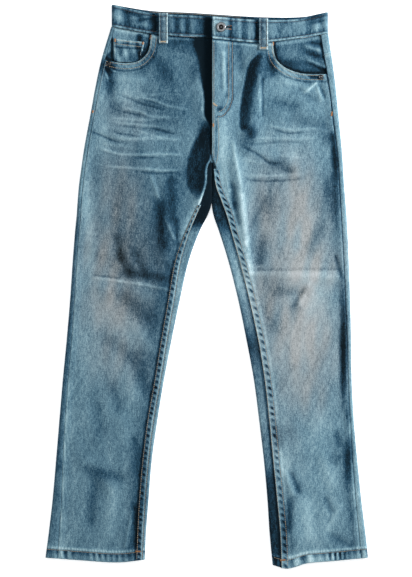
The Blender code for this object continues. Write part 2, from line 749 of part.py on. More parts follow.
def rivets(finish, collection):
    for name, x, y in RIVET_AT:
        leg = RIGHT if x < CENTRE_X else LEFT
        surface = top_height(leg, x, y) + DENIM / 2
        radius, height = RIVET_RADIUS, RIVET_HEIGHT
        profile = ((0.0, height * 0.7), (radius * 0.3, height * 0.7), (radius * 0.45, height),
                   (radius * 0.8, height * 0.9), (radius, height * 0.35), (radius, 0.0),
                   (0.0, 0.0))
        turned_object(name, profile, (x, y, surface + 2 * SEAM), finish, collection, sides=16)


def main():
    for old in list(bpy.data.objects):
        bpy.data.objects.remove(old, do_unlink=True)
    jeans = bpy.data.collections.new("Skinny jeans")
    cutters = bpy.data.collections.new("Cutters")
    for made in (jeans, cutters):
        bpy.context.scene.collection.children.link(made)

    denim = material("Washed denim", (0.10, 0.24, 0.36), 0.9)
    tape = material("Zip tape", (0.05, 0.09, 0.14), 0.8)
    metal = material("Nickel", (0.62, 0.62, 0.60), 0.32, metallic=1.0)

    for leg, pocket_centre in zip(LEGS, BACK_POCKET_X):
        front_panel(leg, denim, jeans)
        back_panel(leg, denim, jeans)
        yoke(leg, denim, jeans)
        pocket_facing(leg, denim, jeans)
        back_pocket(leg, pocket_centre, denim, jeans)
        hem_facing(leg, denim, jeans)
    coin_pocket(denim, jeans)
    band = waistband(denim, jeans)
    cut_buttonhole(band, cutters)
    fly_pieces(denim, tape, jeans)
    for row in FRONT_LOOPS:
        front_loop(*row, denim, jeans)
    for row in BACK_LOOPS:
        back_loop(*row, denim, jeans)
    button(metal, jeans)
    rivets(metal, jeans)


main()
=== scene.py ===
"""Skinny jeans in washed denim, lying flat on their back, front up, waist towards +Y.

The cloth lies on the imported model's own form. Tables are in millimetres: X across (the wearer's
left is +X), Y up the garment, Z off the surface it lies on. Every mesh is built in metres.
"""

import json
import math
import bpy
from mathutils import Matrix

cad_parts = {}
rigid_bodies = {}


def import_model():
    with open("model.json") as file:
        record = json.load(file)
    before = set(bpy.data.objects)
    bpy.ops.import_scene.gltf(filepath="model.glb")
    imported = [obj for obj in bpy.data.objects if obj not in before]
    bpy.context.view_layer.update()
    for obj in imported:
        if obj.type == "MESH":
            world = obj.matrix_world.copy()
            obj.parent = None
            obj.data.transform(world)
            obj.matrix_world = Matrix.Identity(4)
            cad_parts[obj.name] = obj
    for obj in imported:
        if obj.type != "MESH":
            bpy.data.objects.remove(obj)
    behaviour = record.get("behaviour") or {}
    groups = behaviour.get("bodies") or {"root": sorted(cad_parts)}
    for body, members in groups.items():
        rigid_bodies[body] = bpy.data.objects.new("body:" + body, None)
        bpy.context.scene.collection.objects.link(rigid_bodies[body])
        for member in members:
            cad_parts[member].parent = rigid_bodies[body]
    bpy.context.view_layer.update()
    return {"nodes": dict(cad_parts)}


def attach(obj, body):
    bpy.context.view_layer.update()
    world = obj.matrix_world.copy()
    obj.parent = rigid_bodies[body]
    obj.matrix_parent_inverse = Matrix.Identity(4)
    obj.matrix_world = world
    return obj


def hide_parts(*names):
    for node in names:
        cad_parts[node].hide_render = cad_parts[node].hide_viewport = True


bl_info = {
    "name": "Skinny jeans",
    "version": (1, 0, 0),
    "blender": (4, 5, 0),
    "location": "3D View > Sidebar > Jeans",
    "description": "Builds washed denim skinny jeans with their seams, stitching and metal",
    "category": "Add Mesh",
}

from contextlib import contextmanager

import bmesh
import bpy
import numpy as np
from bpy.props import FloatProperty, FloatVectorProperty, PointerProperty
from mathutils import Vector
from mathutils.bvhtree import BVHTree

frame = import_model()

MM = 0.001

# Thickness of one layer of denim, of the doubled waistband, of a folded loop and of a felled seam
DENIM, BAND, LOOP, FELL = 1.2, 2.4, 1.6, 0.9
# Gap between neighbours at a seam, the step from one layer to the next, and a little play
SEAM = 0.3
STACK = DENIM + SEAM
SLACK = 0.1
# Middle of the upper layer off the ground, and how far the side folds of leg and band curl
TOP_LAYER = 5.5
ROLL, BAND_ROLL = 3.0, 3.4
# The seat seam, and the small move that centres the outline
CENTRE_X = 8.0
OVERALL_SHIFT = (-0.3, 0.1)
# Heights of the crotch: its point, where the backs begin to slide round the inner edge, and
# where they are wrapped right round it
CROTCH_Y, UNDER_RISE_Y, WRAPPED_Y = 181.0, 206.0, 172.0
# How far a back curls at the crotch, first and last, what shows of it, and its columns' spacing
CROTCH_START, CROTCH_REACH, CROTCH_STRIP, CROTCH_SPACING = 0.6, 2.2, 2.2, 2.4
# Edges of the fly and of the underlap, and the distance of a stitched row from such an edge
FLY_EDGE_X, UNDERLAP_X, EDGE_ROW = 8.6, 33.0, 2.4
# Heights of the hips, of the last row above the hem's turn, and of the hem
HIP_Y, LOWEST_ROW_Y, HEM_Y = 290.0, -388.0, -400.0
HEM_DEPTH, HEM_ROW = 13.0, 12.8
# Distance over which a layer settles beside a pocket or a loop beneath it
CELL = 26.0
# Heights that a needle starts from
NEEDLE_ABOVE, NEEDLE_BELOW = 80.0, -20.0
# Tones are eased off towards this value either way
TONE_LIMIT = 1.6

# Sections of each leg from waist to hem: y, outer fold, outseam, inseam, inner fold
RIGHT_SECTIONS = (
    (395, -141, -136, 12, 7.7), (380, -145.5, -140, 12, 7.7), (340, -157.5, -152, 12, 7.7),
    (295, -167.2, -161.8, 12, 7.7), (264, -172.8, -167.3, 12, 7.7), (240, -177.3, -171.8, 8, 7.7),
    (215, -182, -176.5, 8, 7.7), (192, -185.7, -180.2, 7.6, 7.7), (181, -187.2, -181.7, 2.2, 7.5),
    (152, -191.1, -185.5, -0.8, 7), (124, -193.5, -187.9, -9.8, 6.3),
    (107, -194.6, -188.9, -17.5, 1.8), (85, -196.8, -190.9, -27, -9.2),
    (40, -200.4, -194.4, -42, -25.5), (-20, -204.5, -198, -52.5, -39),
    (-80, -209.6, -202.5, -63, -51.3), (-140, -215.4, -207.8, -72.8, -62.8),
    (-200, -220.5, -212.2, -83.3, -72.8), (-260, -225.5, -215.5, -90.9, -81.5),
    (-320, -230.8, -217.5, -96, -86.6), (-370, -236.6, -220.9, -98.7, -90.6),
    (-415, -242.6, -223.5, -100.5, -92.4),
)
LEFT_SECTIONS = (
    (395, 181, 168, 8.6, 8.3), (380, 182.3, 169.8, 8.6, 8.3), (340, 188.3, 176.3, 8.6, 8.3),
    (295, 194, 184.2, 8.6, 8.3), (250, 198.4, 189.8, 8.6, 8.3), (215, 202, 194.5, 8.7, 8.3),
    (192, 203.8, 196.9, 9, 8.3), (181, 204.6, 197.9, 13.6, 8.4), (152, 206.3, 199.2, 17.8, 8.6),
    (124, 208.5, 200.8, 28.5, 8.9), (107, 209.9, 201.8, 34.8, 10.4), (85, 211.2, 203, 41, 17.7),
    (40, 213.2, 205.5, 53.8, 31.5), (-20, 215.3, 208.2, 69, 46.5), (-80, 216.8, 210.8, 82.2, 58.8),
    (-140, 217.6, 212, 92, 70), (-200, 220.8, 215, 98.8, 78), (-260, 226, 218.9, 104.6, 85.4),
    (-320, 232, 223.2, 110.7, 91), (-370, 238.2, 228, 115.2, 94.4),
    (-425, 244, 233.5, 117.5, 99.8),
)

# Waistband seam and top edges, as heights along x, and where its side folds are
BAND_SEAM_RIGHT = ((-146, 390), (-71, 377.5), (8, 373.5), (40, 373.5))
BAND_SEAM_LEFT = ((8, 371), (41, 368), (76, 365.5), (149, 373.5), (186, 380))
BAND_SEAM_BACK = ((-146, 390), (-71, 378.5), (8, 373), (76, 369), (149, 374), (186, 380))
BAND_TOP_FRONT = (
    (-146, 423), (-85, 409.5), (-25, 405.5), (8, 403.5), (43, 401), (85, 399), (140, 400.5),
    (160, 404.5), (186, 412),
)
BAND_TOP_BACK = (
    (-146, 423.5), (-85, 413.2), (-25, 410.2), (43, 405.7), (85, 403.5), (148, 404.5), (165, 408),
    (186, 412.5),
)
BAND_ENDS = (-142.0, 182.0)

# Pocket mouths from the outseam to the waistband, and hems as heights from outer to inner fold
MOUTH_RIGHT = (
    (-152.2, 339.5), (-139, 336.5), (-121, 334.3), (-103.5, 337), (-91.5, 346), (-85.5, 358),
    (-82.5, 378.6),
)
MOUTH_LEFT = (
    (180.6, 318), (156, 318), (143, 319), (127, 323.3), (113, 331), (104.5, 340), (101, 351),
    (99.2, 366.6),
)
HEM_RIGHT = ((0, -406), (0.35, -410), (0.75, -413.2), (1, -409))
HEM_LEFT = ((0, -406), (0.4, -411.6), (0.65, -415), (0.85, -422.6), (1, -417))

# The largest folds of the front: x0, y0, x1, y1, height, half width
FOLDS = (
    (76, 334, 66, 236, 4.5, 13), (46, 340, 54, 262, -1.2, 12), (-32, 340, -20, 262, -1, 12),
    (2, 224, -9, 132, 4, 12), (44, 182, 63, 28, 3.6, 11), (70, 200, 140, 178, 2.2, 12),
    (-56, 136, -62, 42, 3, 14), (-160, 56, -62, 8, 2.2, 13), (-172, 238, -90, 214, 1.8, 13),
    (-150, -8, -70, -16, 2, 12), (90, 22, 196, 14, 2, 12), (128, -300, 132, -372, 2.4, 14),
    (-176, -268, -148, -290, 2, 14),
)
# How high and how far the fly and the side folds puff up
FLY_RISE, FLY_RISE_REACH = 7.0, 30.0
EDGE_RISE, EDGE_RISE_REACH = 1.6, 11.0

# Heights of the yoke seam, and the back pockets
YOKE_CENTRE_Y, YOKE_SIDE_Y = 312.0, 349.0
BACK_POCKET_WIDTH, BACK_POCKET_DEPTH, BACK_POCKET_POINT = 106.0, 122.0, 16.0
BACK_POCKET_TOP_Y = 298.0
BACK_POCKET_X = (-84.0, 100.0)

# Belt loops: centre x, upper end, lower end
LOOP_WIDTH = 13.0
FRONT_LOOPS = (("right_front", -64.5, 409, 364), ("left_front", 85.5, 401, 354.5))
BACK_LOOPS = (
    ("right_back", -76, 411, 366), ("centre_back", 8, 406.5, 359), ("left_back", 92, 402.5, 357.5),
)
# Corners of the coin pocket: upper outer, upper inner, lower inner, lower outer
COIN_POCKET = ((-139, 371), (-93, 366), (-98, 342.5), (-138, 338.5))
# Button, length and width of its hole, and rivets
BUTTON_AT = (21.8, 387.5)
BUTTONHOLE = (18.0, 2.6)
SHANK_RADIUS = 1.5
RIVET_AT = (("rivet_left_pocket", 171.5, 314.0), ("rivet_right_pocket", -147.0, 333.0))

# Small creases of the front: x0, y0, x1, y1, height (a trough where negative), half width, tone
# (lighter on a crest, darker down in a trough: partly the wash's rubbing, partly painted
# highlight and painted shade)
FRONT_CREASES = (
    (-91, 237, -60, 231, -0.6, 3, -0.2), (-135, 226, -92, 224, 0.8, 4.5, 0.15),
    (-84, 248, -50, 246, -0.5, 5, -0.22), (-150, 213, -116, 208, 0.7, 2.6, 0.15),
    # wearer's right thigh and knee
    (-82, 163, -71, 131, 0.9, 3, 0.32), (-54, 158, -51, 103, -1.2, 6.5, -0.55),
    (-70, 122, -67, 64, -1.5, 8, -0.62), (-62, 102, -48, 71, 1, 2.4, 0.45),
    (-45, 98, -44, 64, -0.9, 3.5, -0.45), (-134, 72, -128, 40, -1.1, 6, -0.42),
    (-128, 46, -116, 22, -1.3, 7, -0.5), (-107, 50, -92, 20, -1.1, 7, -0.45),
    (-122, 20, -62, 12, -1, 7, -0.5), (-56, 30, -52, 8, -0.8, 5, -0.4),
    (-168, 13, -131, 8, 0.9, 1.9, 0.35), (-131, 8, -101, 4, 1, 1.9, 0.35),
    (-101, 4, -60, -4, 1, 2.1, 0.4), (-168, 17, -131, 12, -0.7, 2.2, -0.35),
    (-150, 150, -146, 60, 0.5, 8, 0.1),
    # wearer's right lower leg
    (-126, -16, -88, -46, -1.2, 13, -0.4), (-140, -84, -112, -104, -1, 11, -0.32),
    (-112, -112, -92, -150, -0.9, 12, -0.28), (-140, -152, -132, -182, -0.9, 9, -0.28),
    (-162, -182, -158, -214, -0.9, 10, -0.28), (-106, -60, -84, -92, 0.7, 8, 0.22),
    (-176, -275, -134, -286, -1.5, 8, -0.42), (-168, -292, -174, -350, -1.1, 8, -0.34),
    (-142, -306, -146, -368, 1.1, 9, 0.3), (-112, -338, -121, -388, 0.9, 2.4, 0.35),
    (-107, -332, -105, -388, -1, 5, -0.55), (-108, -232, -102, -276, -0.8, 8, -0.28),
    (-128, -196, -124, -226, 0.7, 9, 0.18), (-118, -130, -112, -160, 0.7, 9, 0.18),
    # wearer's left hip: the deep valley beside the fly and the folds of the thigh
    (62, 234, 65, 226, -0.8, 6, -0.75), (73, 312, 70, 262, -0.5, 5, -0.25),
    (84, 310, 84.5, 256, -0.9, 1.8, -0.55), (79, 316, 80, 262, 0.7, 2.4, 0.3),
    (96, 340, 101, 320, -0.9, 6, -0.6), (104, 276, 130, 270, -1, 8, -0.32),
    (134, 250, 174, 240, -1.1, 10, -0.3), (20, 346, 22, 300, -0.5, 3, -0.3),
    (26, 350, 27, 288, 0.8, 2.4, 0.5), (31, 340, 31, 300, -0.4, 1.8, -0.3),
    (29, 291, 29, 286, -0.6, 3, -0.5), (46, 362, 52, 330, -0.6, 7, -0.45),
    (112, 192, 122, 172, -0.9, 7, -0.32), (100, 182, 124, 174, -0.6, 6, -0.3),
    (53, 136, 60, 66, 0.9, 4, 0.65), (60, 66, 66, 22, 0.8, 4, 0.5),
    (39, 150, 42, 122, -1.8, 4.5, -0.62), (42, 122, 47, 96, -1.6, 4, -0.55),
    (28, 176, 33, 140, 0.7, 3, 0.35), (24, 250, 26, 190, 0.4, 6, 0.22),
    # wearer's left thigh and knee
    (84, 126, 74, 98, -1.1, 11, -0.32), (166, 82, 154, 58, -1.1, 11, -0.38),
    (84, 68, 79, 40, -1.1, 8, -0.45), (66, 20, 196, 14, 1, 7, 0.22),
    (62, 24, 194, 26, -0.7, 2.6, -0.3), (193, 44, 202, 15, -1.2, 3, -0.6),
    (112, -8, 142, -8, -1.3, 9, -0.45), (148, -4, 132, -26, -1.1, 5, -0.5),
    (88, -38, 98, -62, -0.9, 8, -0.28), (152, 2, 140, -26, 1, 3.5, 0.35),
    # wearer's left lower leg
    (128, -283, 136, -303, -1.4, 4.5, -0.55), (118, -280, 128, -308, 0.9, 4, 0.25),
    (126, -322, 122, -362, -1.3, 6, -0.6), (148, -326, 154, -372, 1, 9, 0.28),
    (180, -320, 186, -334, -0.9, 4.5, -0.45), (196, -224, 199, -236, -0.9, 6, -0.45),
    (176, -258, 186, -292, 0.9, 9, 0.26), (200, -330, 190, -350, 0.8, 4, 0.28),
    (104, -214, 108, -236, -0.9, 6, -0.55), (186, -372, 214, -388, -0.9, 7, -0.35),
    # beside the wearer's right front pocket, and the hip below it
    (-154.7, 328, -147.5, 312, 1.2, 1.7, 0.95), (-152, 330, -138, 322.5, 1.2, 1.7, 0.85),
    (-150, 322, -144, 308, -1, 2.2, -0.45), (-146, 302, -139, 270, -0.9, 8, -0.35),
    (-132, 312, -96, 309, 0.7, 5, 0.2), (-80, 345, -62, 322, -0.7, 9, -0.4),
    (-72, 312, -52, 302, -0.5, 9, -0.22),
    # below the wearer's left front pocket
    (165, 305, 147.8, 291, 1.1, 1.8, 0.6), (170, 300, 176, 286, -1, 3, -0.5),
    (166, 299, 172, 280, 0.9, 2.2, 0.4), (157, 314, 171, 311, -1.2, 3.2, -0.85),
    (140, 296, 160, 280, -0.8, 5, -0.3), (126, 330, 150, 308, -0.6, 6, -0.25),
    (118, 306, 150, 296, 0.6, 5, 0.2),
)

# Whiskers and longer folds of the front: height, half width, tone (pale whiskers of the wash,
# painted highlights on crests and painted shade down the troughs), then the points of their path
FRONT_LINES = (
    # wearer's right hip and thigh
    (0.6, 2.2, 0.35, (-108, 287), (-79, 287), (-62, 290)),
    (0.8, 2, 0.5, (-107, 284), (-81, 279.8), (-62, 272.3), (-45, 268), (-24, 265)),
    (-0.8, 2.2, -0.5, (-137, 289), (-118, 282.5), (-99, 274), (-79, 269), (-60, 264)),
    (-0.5, 1.8, -0.35, (-101, 281), (-81, 276), (-66, 270)),
    (0.8, 2, 0.45, (-131, 268), (-111, 265), (-96, 261.5), (-84, 255), (-49, 252.5)),
    (-0.9, 2, -0.6, (-133, 263.7), (-118, 260), (-101, 256.8), (-88, 253)),
    (0.8, 2.4, 0.42, (-150, 253), (-126, 251), (-96, 249), (-70, 250.5)),
    (0.7, 2, 0.38, (-146, 247), (-118, 244), (-90, 241), (-68, 240)),
    (-0.6, 1.8, -0.3, (-140, 241), (-112, 238.5), (-94, 236)),
    (-0.9, 1.9, -0.6, (-88, 238.6), (-71, 234.5), (-54, 230), (-40, 229)),
    (-0.9, 2, -0.6, (-146, 234), (-129, 228.5), (-111, 226), (-96, 223.4)),
    (0.8, 2, 0.45, (-107, 235.4), (-88, 228.5), (-71, 224), (-54, 222.5)),
    (-1, 2, -0.7, (-180, 233), (-165, 229), (-150, 222.5), (-137, 217.4), (-124, 215.7)),
    (0.8, 2.4, 0.4, (-141, 222.5), (-111, 220.4), (-79, 221.7), (-32, 219.5)),
    (1, 2.2, 0.55, (-164, 209), (-135, 199.4), (-107, 197.2), (-71, 198.3), (-32, 197)),
    (-0.8, 1.8, -0.45, (-115, 194.8), (-88, 192.7), (-66, 192.7)),
    (1, 2.2, 0.5, (-156, 180), (-118, 178), (-88, 175.8), (-62, 173.7), (-34, 174.7)),
    (-0.9, 1.8, -0.55, (-104, 172.4), (-79, 169.6), (-62, 169.8), (-42, 171.8)),
    # wearer's left hip and thigh
    (0.7, 2.2, 0.3, (86, 243), (109, 237.5), (131, 234.5), (161, 236), (188, 231)),
    (-0.8, 1.8, -0.6, (97, 237), (113, 231.5), (126, 229.4), (150, 231.5)),
    (-0.6, 2, -0.35, (50, 216.5), (71, 212.5), (98, 215.5), (122, 216.5), (150, 214)),
    (0.6, 2.4, 0.25, (60, 221), (98, 222), (140, 221), (170, 224)),
    (-1, 2.6, -0.65, (49, 212), (66, 203.7), (81, 195), (92, 186), (105, 184.4), (120, 185.5)),
    (0.6, 2.2, 0.3, (92, 195), (118, 196), (150, 190)),
    (0.5, 2, 0.22, (47, 193), (71, 186.5), (100, 181)),
    (0.7, 2.2, 0.35, (57, 167), (92, 165), (135, 168.3), (150, 168)),
    (-0.8, 1.9, -0.55, (54, 161), (83, 157.8), (118, 158.7), (148, 161.9)),
    (0.9, 3, 0.65, (39.5, 222), (43.8, 191), (48, 169.5), (53.5, 138)),
)

# Edge of the hollow at the wearer's right of the fly, painted dark as the fly's shadow, and how
# soft it is, both edges of the valley at the wearer's left of it, painted dark as shade, and edge
# of the painted shadow on the inner thigh, all as x at heights
HOLLOW_EDGE = (
    (186, 9), (205, 6), (246, 4), (254, -1), (280, -2.5), (310, -6.5), (340, -10), (360, -15),
    (376, -17),
)
VALLEY_LEFT = ((228, 54), (236, 50.5), (260, 49.5), (285, 52.5), (310, 57.5), (335, 65), (348, 77))
VALLEY_RIGHT = ((228, 60), (238, 65), (260, 69), (279, 72), (298, 75), (325, 81), (348, 88))
THIGH_EDGE = (
    (120, -6), (131, -16), (142, -25), (162, -30.5), (193, -27.5), (205, -23), (217, -18),
    (235, -8), (250, -5), (262, -3),
)
HOLLOW_SOFT = ((186, 2), (250, 3), (300, 4), (330, 8), (360, 14), (376, 16))

# Patches of tone and of grey rubbing: x, y, half width, half length, lean (degrees), tone, grey
FRONT_PATCHES = (
    # painted shade beside the fly, the painted shadow on the inner thigh under it, and more painted
    # light and shade round the front pockets and the hips
    (-24, 362, 22, 14, 18, -0.45, 0), (-6, 234, 6, 13, 0, -0.65, 0),
    (-34, 300, 26, 60, 4, -0.2, 0), (-8, 216, 7, 10, 0, -0.3, 0), (-50, 367, 30, 9, 12, -0.45, 0),
    (-130, 284, 30, 14, 0, 0.38, 0), (-155, 232, 9, 28, 0, 0.4, 0),
    (-90, 336, 12, 20, 0, -0.42, 0), (-60, 272, 30, 16, -8, -0.22, 0),
    (-148, 326, 10, 9, 0, -1.15, 0), (-144, 298, 7, 24, -8, -0.4, 0),
    (-147, 338, 6, 3, 0, -0.8, 0), (-147, 331, 10, 8, 0, -0.9, 0), (-118, 300, 22, 16, 0, 0.15, 0),
    (20, 265.5, 3.5, 3.5, 0, -0.9, 0), (70, 232, 6, 10, 0, -0.6, 0), (13, 352, 3, 20, 2, -0.35, 0),
    (218, 118, 6, 60, 2, 0.25, 0), (34, 320, 5, 45, 0, -0.3, 0), (78, 338, 11, 20, 0, -0.5, 0),
    (97, 328, 9, 16, 0, -0.5, 0), (80, 312, 14, 16, 0, -0.3, 0), (57, 214, 10, 16, 0, -0.35, 0),
    (182, 222, 9, 10, 0, -0.5, 0),
    # outer edges: painted shade inside the wearer's left outseam, lighter along the wearer's right
    # edge
    (-178, 100, 8, 120, 4, 0.3, 0), (-188, 0, 8, 130, 4, 0.05, 0), (-200, -130, 8, 120, 4, 0, 0),
    (194, 170, 7, 50, 2, -0.35, 0), (193, 118, 8, 44, 2, -0.45, 0), (206, -30, 5, 46, 3, -0.5, 0),
    (205, -104, 5, 62, 0, -1.7, 0), (212, -185, 3.5, 24, 0, -0.8, 0),
    (213, -258, 7, 36, -2, -1.25, 0), (219, -352, 6, 42, 6, -0.45, 0),
    # rubbed grey thighs and knees
    (140, 108, 30, 80, 4, 0.12, 1), (140, 30, 54, 50, 0, 0.14, 0.95),
    (150, -14, 20, 44, 8, 0.36, 1), (142, -76, 50, 76, 4, 0.2, 1),
    (144, -138, 38, 52, 2, -0.05, 0.7), (96, 100, 30, 80, 4, -0.12, 0.7),
    (98, -10, 32, 60, 4, -0.1, 0.75), (108, -190, 36, 90, 4, 0, 0.2), (180, 90, 16, 70, 0, 0, 0.3),
    (-128, 118, 34, 76, 4, -0.24, 0.6), (-136, 44, 44, 64, 4, -0.08, 0.75),
    (-136, -30, 44, 50, 4, 0.06, 0.8), (-134, -92, 42, 54, 4, -0.06, 0.45),
    (-92, 44, 30, 60, 4, -0.22, 0.35), (-120, 250, 44, 40, 0, 0.02, 0.22),
    # broad painted light and shade, and lighter and darker spots
    (-96, 305, 34, 26, 0, 0, 0), (-60, 330, 16, 24, 0, -0.1, 0), (-90, 250, 60, 130, 0, -0.18, 0),
    (140, 290, 36, 40, 0, 0.06, 0), (110, 320, 20, 30, 0, 0.1, 0), (50, 186, 22, 22, 0, 0.2, 0),
    (22, 210, 12, 40, 0, 0.25, 0), (120, 215, 50, 30, 0, 0.1, 0.15),
    (-160, -330, 50, 70, 0, -0.08, 0), (-160, -220, 50, 80, 0, -0.06, 0),
    (-104, -330, 12, 80, 4, -0.46, 0), (-58, 84, 18, 52, 12, -0.5, 0),
    (-66, 0, 14, 60, 8, -0.34, 0), (-72, -70, 13, 50, 6, -0.3, 0), (60, 130, 22, 50, 4, 0.24, 0),
    (100, 90, 22, 40, 0, 0.16, 0), (56, 12, 14, 60, 6, 0.5, 0), (76, -60, 12, 40, 6, 0.28, 0),
    (118, -350, 9, 40, 0, -0.5, 0), (139, -308, 9, 16, 0, -0.35, 0), (156, -408, 36, 9, 0, 0.5, 0),
    (181, -366, 10, 12, 0, 0.4, 0), (134, -32, 12, 9, 0, -0.35, 0),
    (126, -220, 20, 12, 0, -0.28, 0), (182, 140, 10, 30, 0, -0.42, 0),
    (97, 112, 10, 20, 0, -0.32, 0), (-113, -385, 12, 26, 0, -0.5, 0),
    (-92, -310, 8, 30, 0, -0.35, 0), (118, -268, 10, 18, 0, 0.45, 0),
    (192, -258, 16, 10, 0, -0.35, 0), (118, -390, 10, 16, 0, -0.4, 0),
    (204, -404, 10, 9, 0, -0.45, 0), (-42, 150, 17, 44, 0, -0.3, 0), (164, 315, 9, 4, 0, -0.7, 0),
    (-14, 326, 9, 16, 0, -0.4, 0), (-140, -120, 60, 80, 0, 0.1, 0),
    (150, -330, 50, 70, 0, 0.16, 0), (150, -220, 50, 60, 0, 0.14, 0),
    (-84, -120, 14, 90, 6, -0.32, 0), (-92, -240, 12, 90, 4, -0.32, 0),
)

# Creases of the back, which lies on the ground: only crests
BACK_CREASES = (
    (-150, 160, -40, 150, 1, 8, -0.2), (-140, 138, -30, 120, 0.9, 7, -0.25),
    (-160, 30, -60, 40, 1.1, 8, -0.3), (-165, 8, -60, 14, 1, 7, -0.3),
    (-170, -18, -70, -6, 1.1, 8, -0.3), (-172, -46, -80, -38, 0.9, 7, -0.25),
    (40, 158, 160, 150, 1, 8, -0.2), (50, 124, 150, 138, 0.9, 7, -0.25),
    (66, 44, 190, 30, 1.1, 8, -0.3), (70, 16, 196, 4, 1, 7, -0.3),
    (76, -10, 200, -22, 1.1, 8, -0.3), (84, -40, 196, -50, 0.9, 7, -0.25),
    (-190, -300, -110, -320, 0.9, 8, -0.2), (120, -290, 210, -310, 0.9, 8, -0.2),
)
BACK_PATCHES = (
    (-88, 190, 52, 60, 0, 0.45, 0.25), (104, 190, 52, 60, 0, 0.45, 0.25),
    (-120, 90, 46, 70, 0, 0.25, 0.3), (130, 90, 46, 70, 0, 0.25, 0.3),
    (-140, -190, 50, 120, 0, -0.1, 0), (160, -190, 50, 120, 0, -0.1, 0),
    (8, 250, 14, 60, 0, -0.2, 0),
)


# Inner and outer row of the fly's J-shaped stitching, and the short row under them
FLY_ROW_INNER = (
    (33.2, 366), (33.2, 345), (33.2, 320), (33.4, 298), (32.6, 280), (26.3, 266.5), (17.5, 260.2),
)
FLY_ROW_OUTER = (
    (38.7, 366), (38.7, 345), (38.7, 320), (38.9, 298), (38.6, 281), (33.7, 266.5), (24.8, 255.5),
    (15.5, 253.6),
)
CROTCH_ROW = ((17, 252), (18.3, 232), (18.3, 215), (17, 196), (13.5, 182))

# How far each inner thigh swells to close the gap below the crotch, as x at heights
CROTCH_TOUCH = (
    (-430, 0), (104, 0), (108, 0.1), (116, 0.8), (124, 1.3), (152, 0.92), (181, 0.54), (192, 0.34),
    (206, 0), (430, 0),
)

# Shares of a back's width at which its columns lie: inseam, inner fold, underside, outer fold
COLUMN_SPREAD = ((0.0, 0.08, 0.17, 0.86, 0.95, 1.0), (0.0, 1.0, 5.0, 13.0, 17.0, 18.0))

# The stage, in metres: half the floor's width and its depth under the cloth, places and sizes of
# the two lights, the camera's place, its sensor in mm and how much of the height it shows
FLOOR_HALF, FLOOR_Z = 4.0, -0.0012
KEY_AT, KEY_SIZE = (1.6, 0.75, 1.0), 0.6
FILL_AT, FILL_SIZE = (-0.3, 0.2, 2.4), 2.4
CAMERA_AT, SENSOR, VIEW_HEIGHT = (-0.00105, -0.0029, 3.6), 36.0, 0.8655

# How many bands a wave texture of scale 1 draws in a metre, and the scale of twill lines 1.5 mm
# apart
WAVES_PER_UNIT = 20.0
TWILL_SCALE = 1000 / 1.5 / 6.2832 * 0.314

# Creases of the pocket facings, with the columns of FRONT_CREASES: troughs painted darker as shade
FACING_CREASES = (
    (149, 360, 168, 354, 1, 2.4, 0.5), (168, 354, 177, 330, 1, 2.4, 0.5),
    (153, 339, 178, 328.5, 1, 2, 0.55), (152, 350, 172, 344, -0.8, 4, -0.8),
    (157, 333, 178, 323, -0.9, 3, -0.85), (158, 366, 174, 362, -0.8, 3, -0.5),
    (112, 350, 150, 346, 0.6, 6, 0.15), (120, 336, 150, 334, -0.6, 4, -0.35),
    (-144, 350, -150, 342, -0.8, 3, -0.9),
)
# Upright ribs of the front of the waistband: x, height, half width, tone; the darkest tones are
# painted shadows of the belt loops and of the fly's end
BAND_RIBS = (
    (-131, 0.3, 5, 0.3), (-118, -0.3, 3, -0.25), (-100, 0.3, 5, 0.1), (-78, -0.6, 5, -1),
    (-54, 0.4, 3, 0.22), (-44, -0.3, 3, -0.18), (-37, 0.4, 3, 0.22), (-29, -0.4, 3, -0.28),
    (-22, 0.3, 3, 0.15), (-14, -0.3, 3, -0.15), (2.5, -0.6, 6, -1.9), (11.2, 0.3, 1.8, 0.7),
    (15, 0.2, 4, 0.3), (36, -0.4, 2.4, -0.8), (44, -0.2, 3, -0.45), (50, 0.4, 3, 0.4),
    (57, -0.4, 3.5, -0.5), (65, 0.4, 3, 0.45), (75, -0.4, 4, -1.1), (104, 0.3, 5, 0.15),
    (120, -0.3, 3, -0.25), (134, 0.3, 4, 0.2), (150, -0.3, 3, -0.3), (164, 0.3, 4, 0.2),
)
# Slanting folds at both ends of the front of the waistband, their troughs painted darker as shade
BAND_CREASES = (
    (-139, 408, -128, 400, 0.4, 4, 0.3), (-122, 412, -97, 403, -0.5, 3, -0.45),
    (-113, 401, -86, 404, 0.4, 2, 0.28), (-100, 399, -80, 402, -0.5, 2.4, -0.45),
    (-104, 393, -85, 390, 0.4, 3, 0.28), (-79, 405, -77, 388, -0.6, 3.4, -0.75),
    (140, 402, 160, 406, -0.5, 4, -0.65), (160, 408, 180, 414, -0.5, 4, -0.65),
    (140, 394, 176, 402, 0.4, 3, 0.3), (166, 388, 182, 392, 0.4, 4, 0.25),
)

# Bar tacks: x, y, length, turn in degrees from level
FRONT_TACKS = (
    (10.2, 241.5, 5, 90), (187.6, 259, 7, 80), (-170, 262, 4, 80), (-137, 369, 5, 90),
    (-95, 364, 5, 90), (-102, -396.6, 8, 0), (114.5, -409.5, 8, 4), (99.6, 363.5, 7, 80),
    (-83.5, 374, 7, 80),
)
# The tacks in tan thread: feet of the front loops and the curve of the fly
TAN_TACKS = ((-64.5, 366.4, 9, 0), (85.5, 357, 9, 0), (13, 271.5, 8, -35))
BACK_TACKS = (
    *((centre, end, 10, 0) for _, centre, upper, lower in BACK_LOOPS
      for end in (upper - 2.6, lower + 2.6)),
    *((centre + across, BACK_POCKET_TOP_Y - 4, 7, 90) for centre in BACK_POCKET_X
      for across in (-50.5, 50.5)),
)

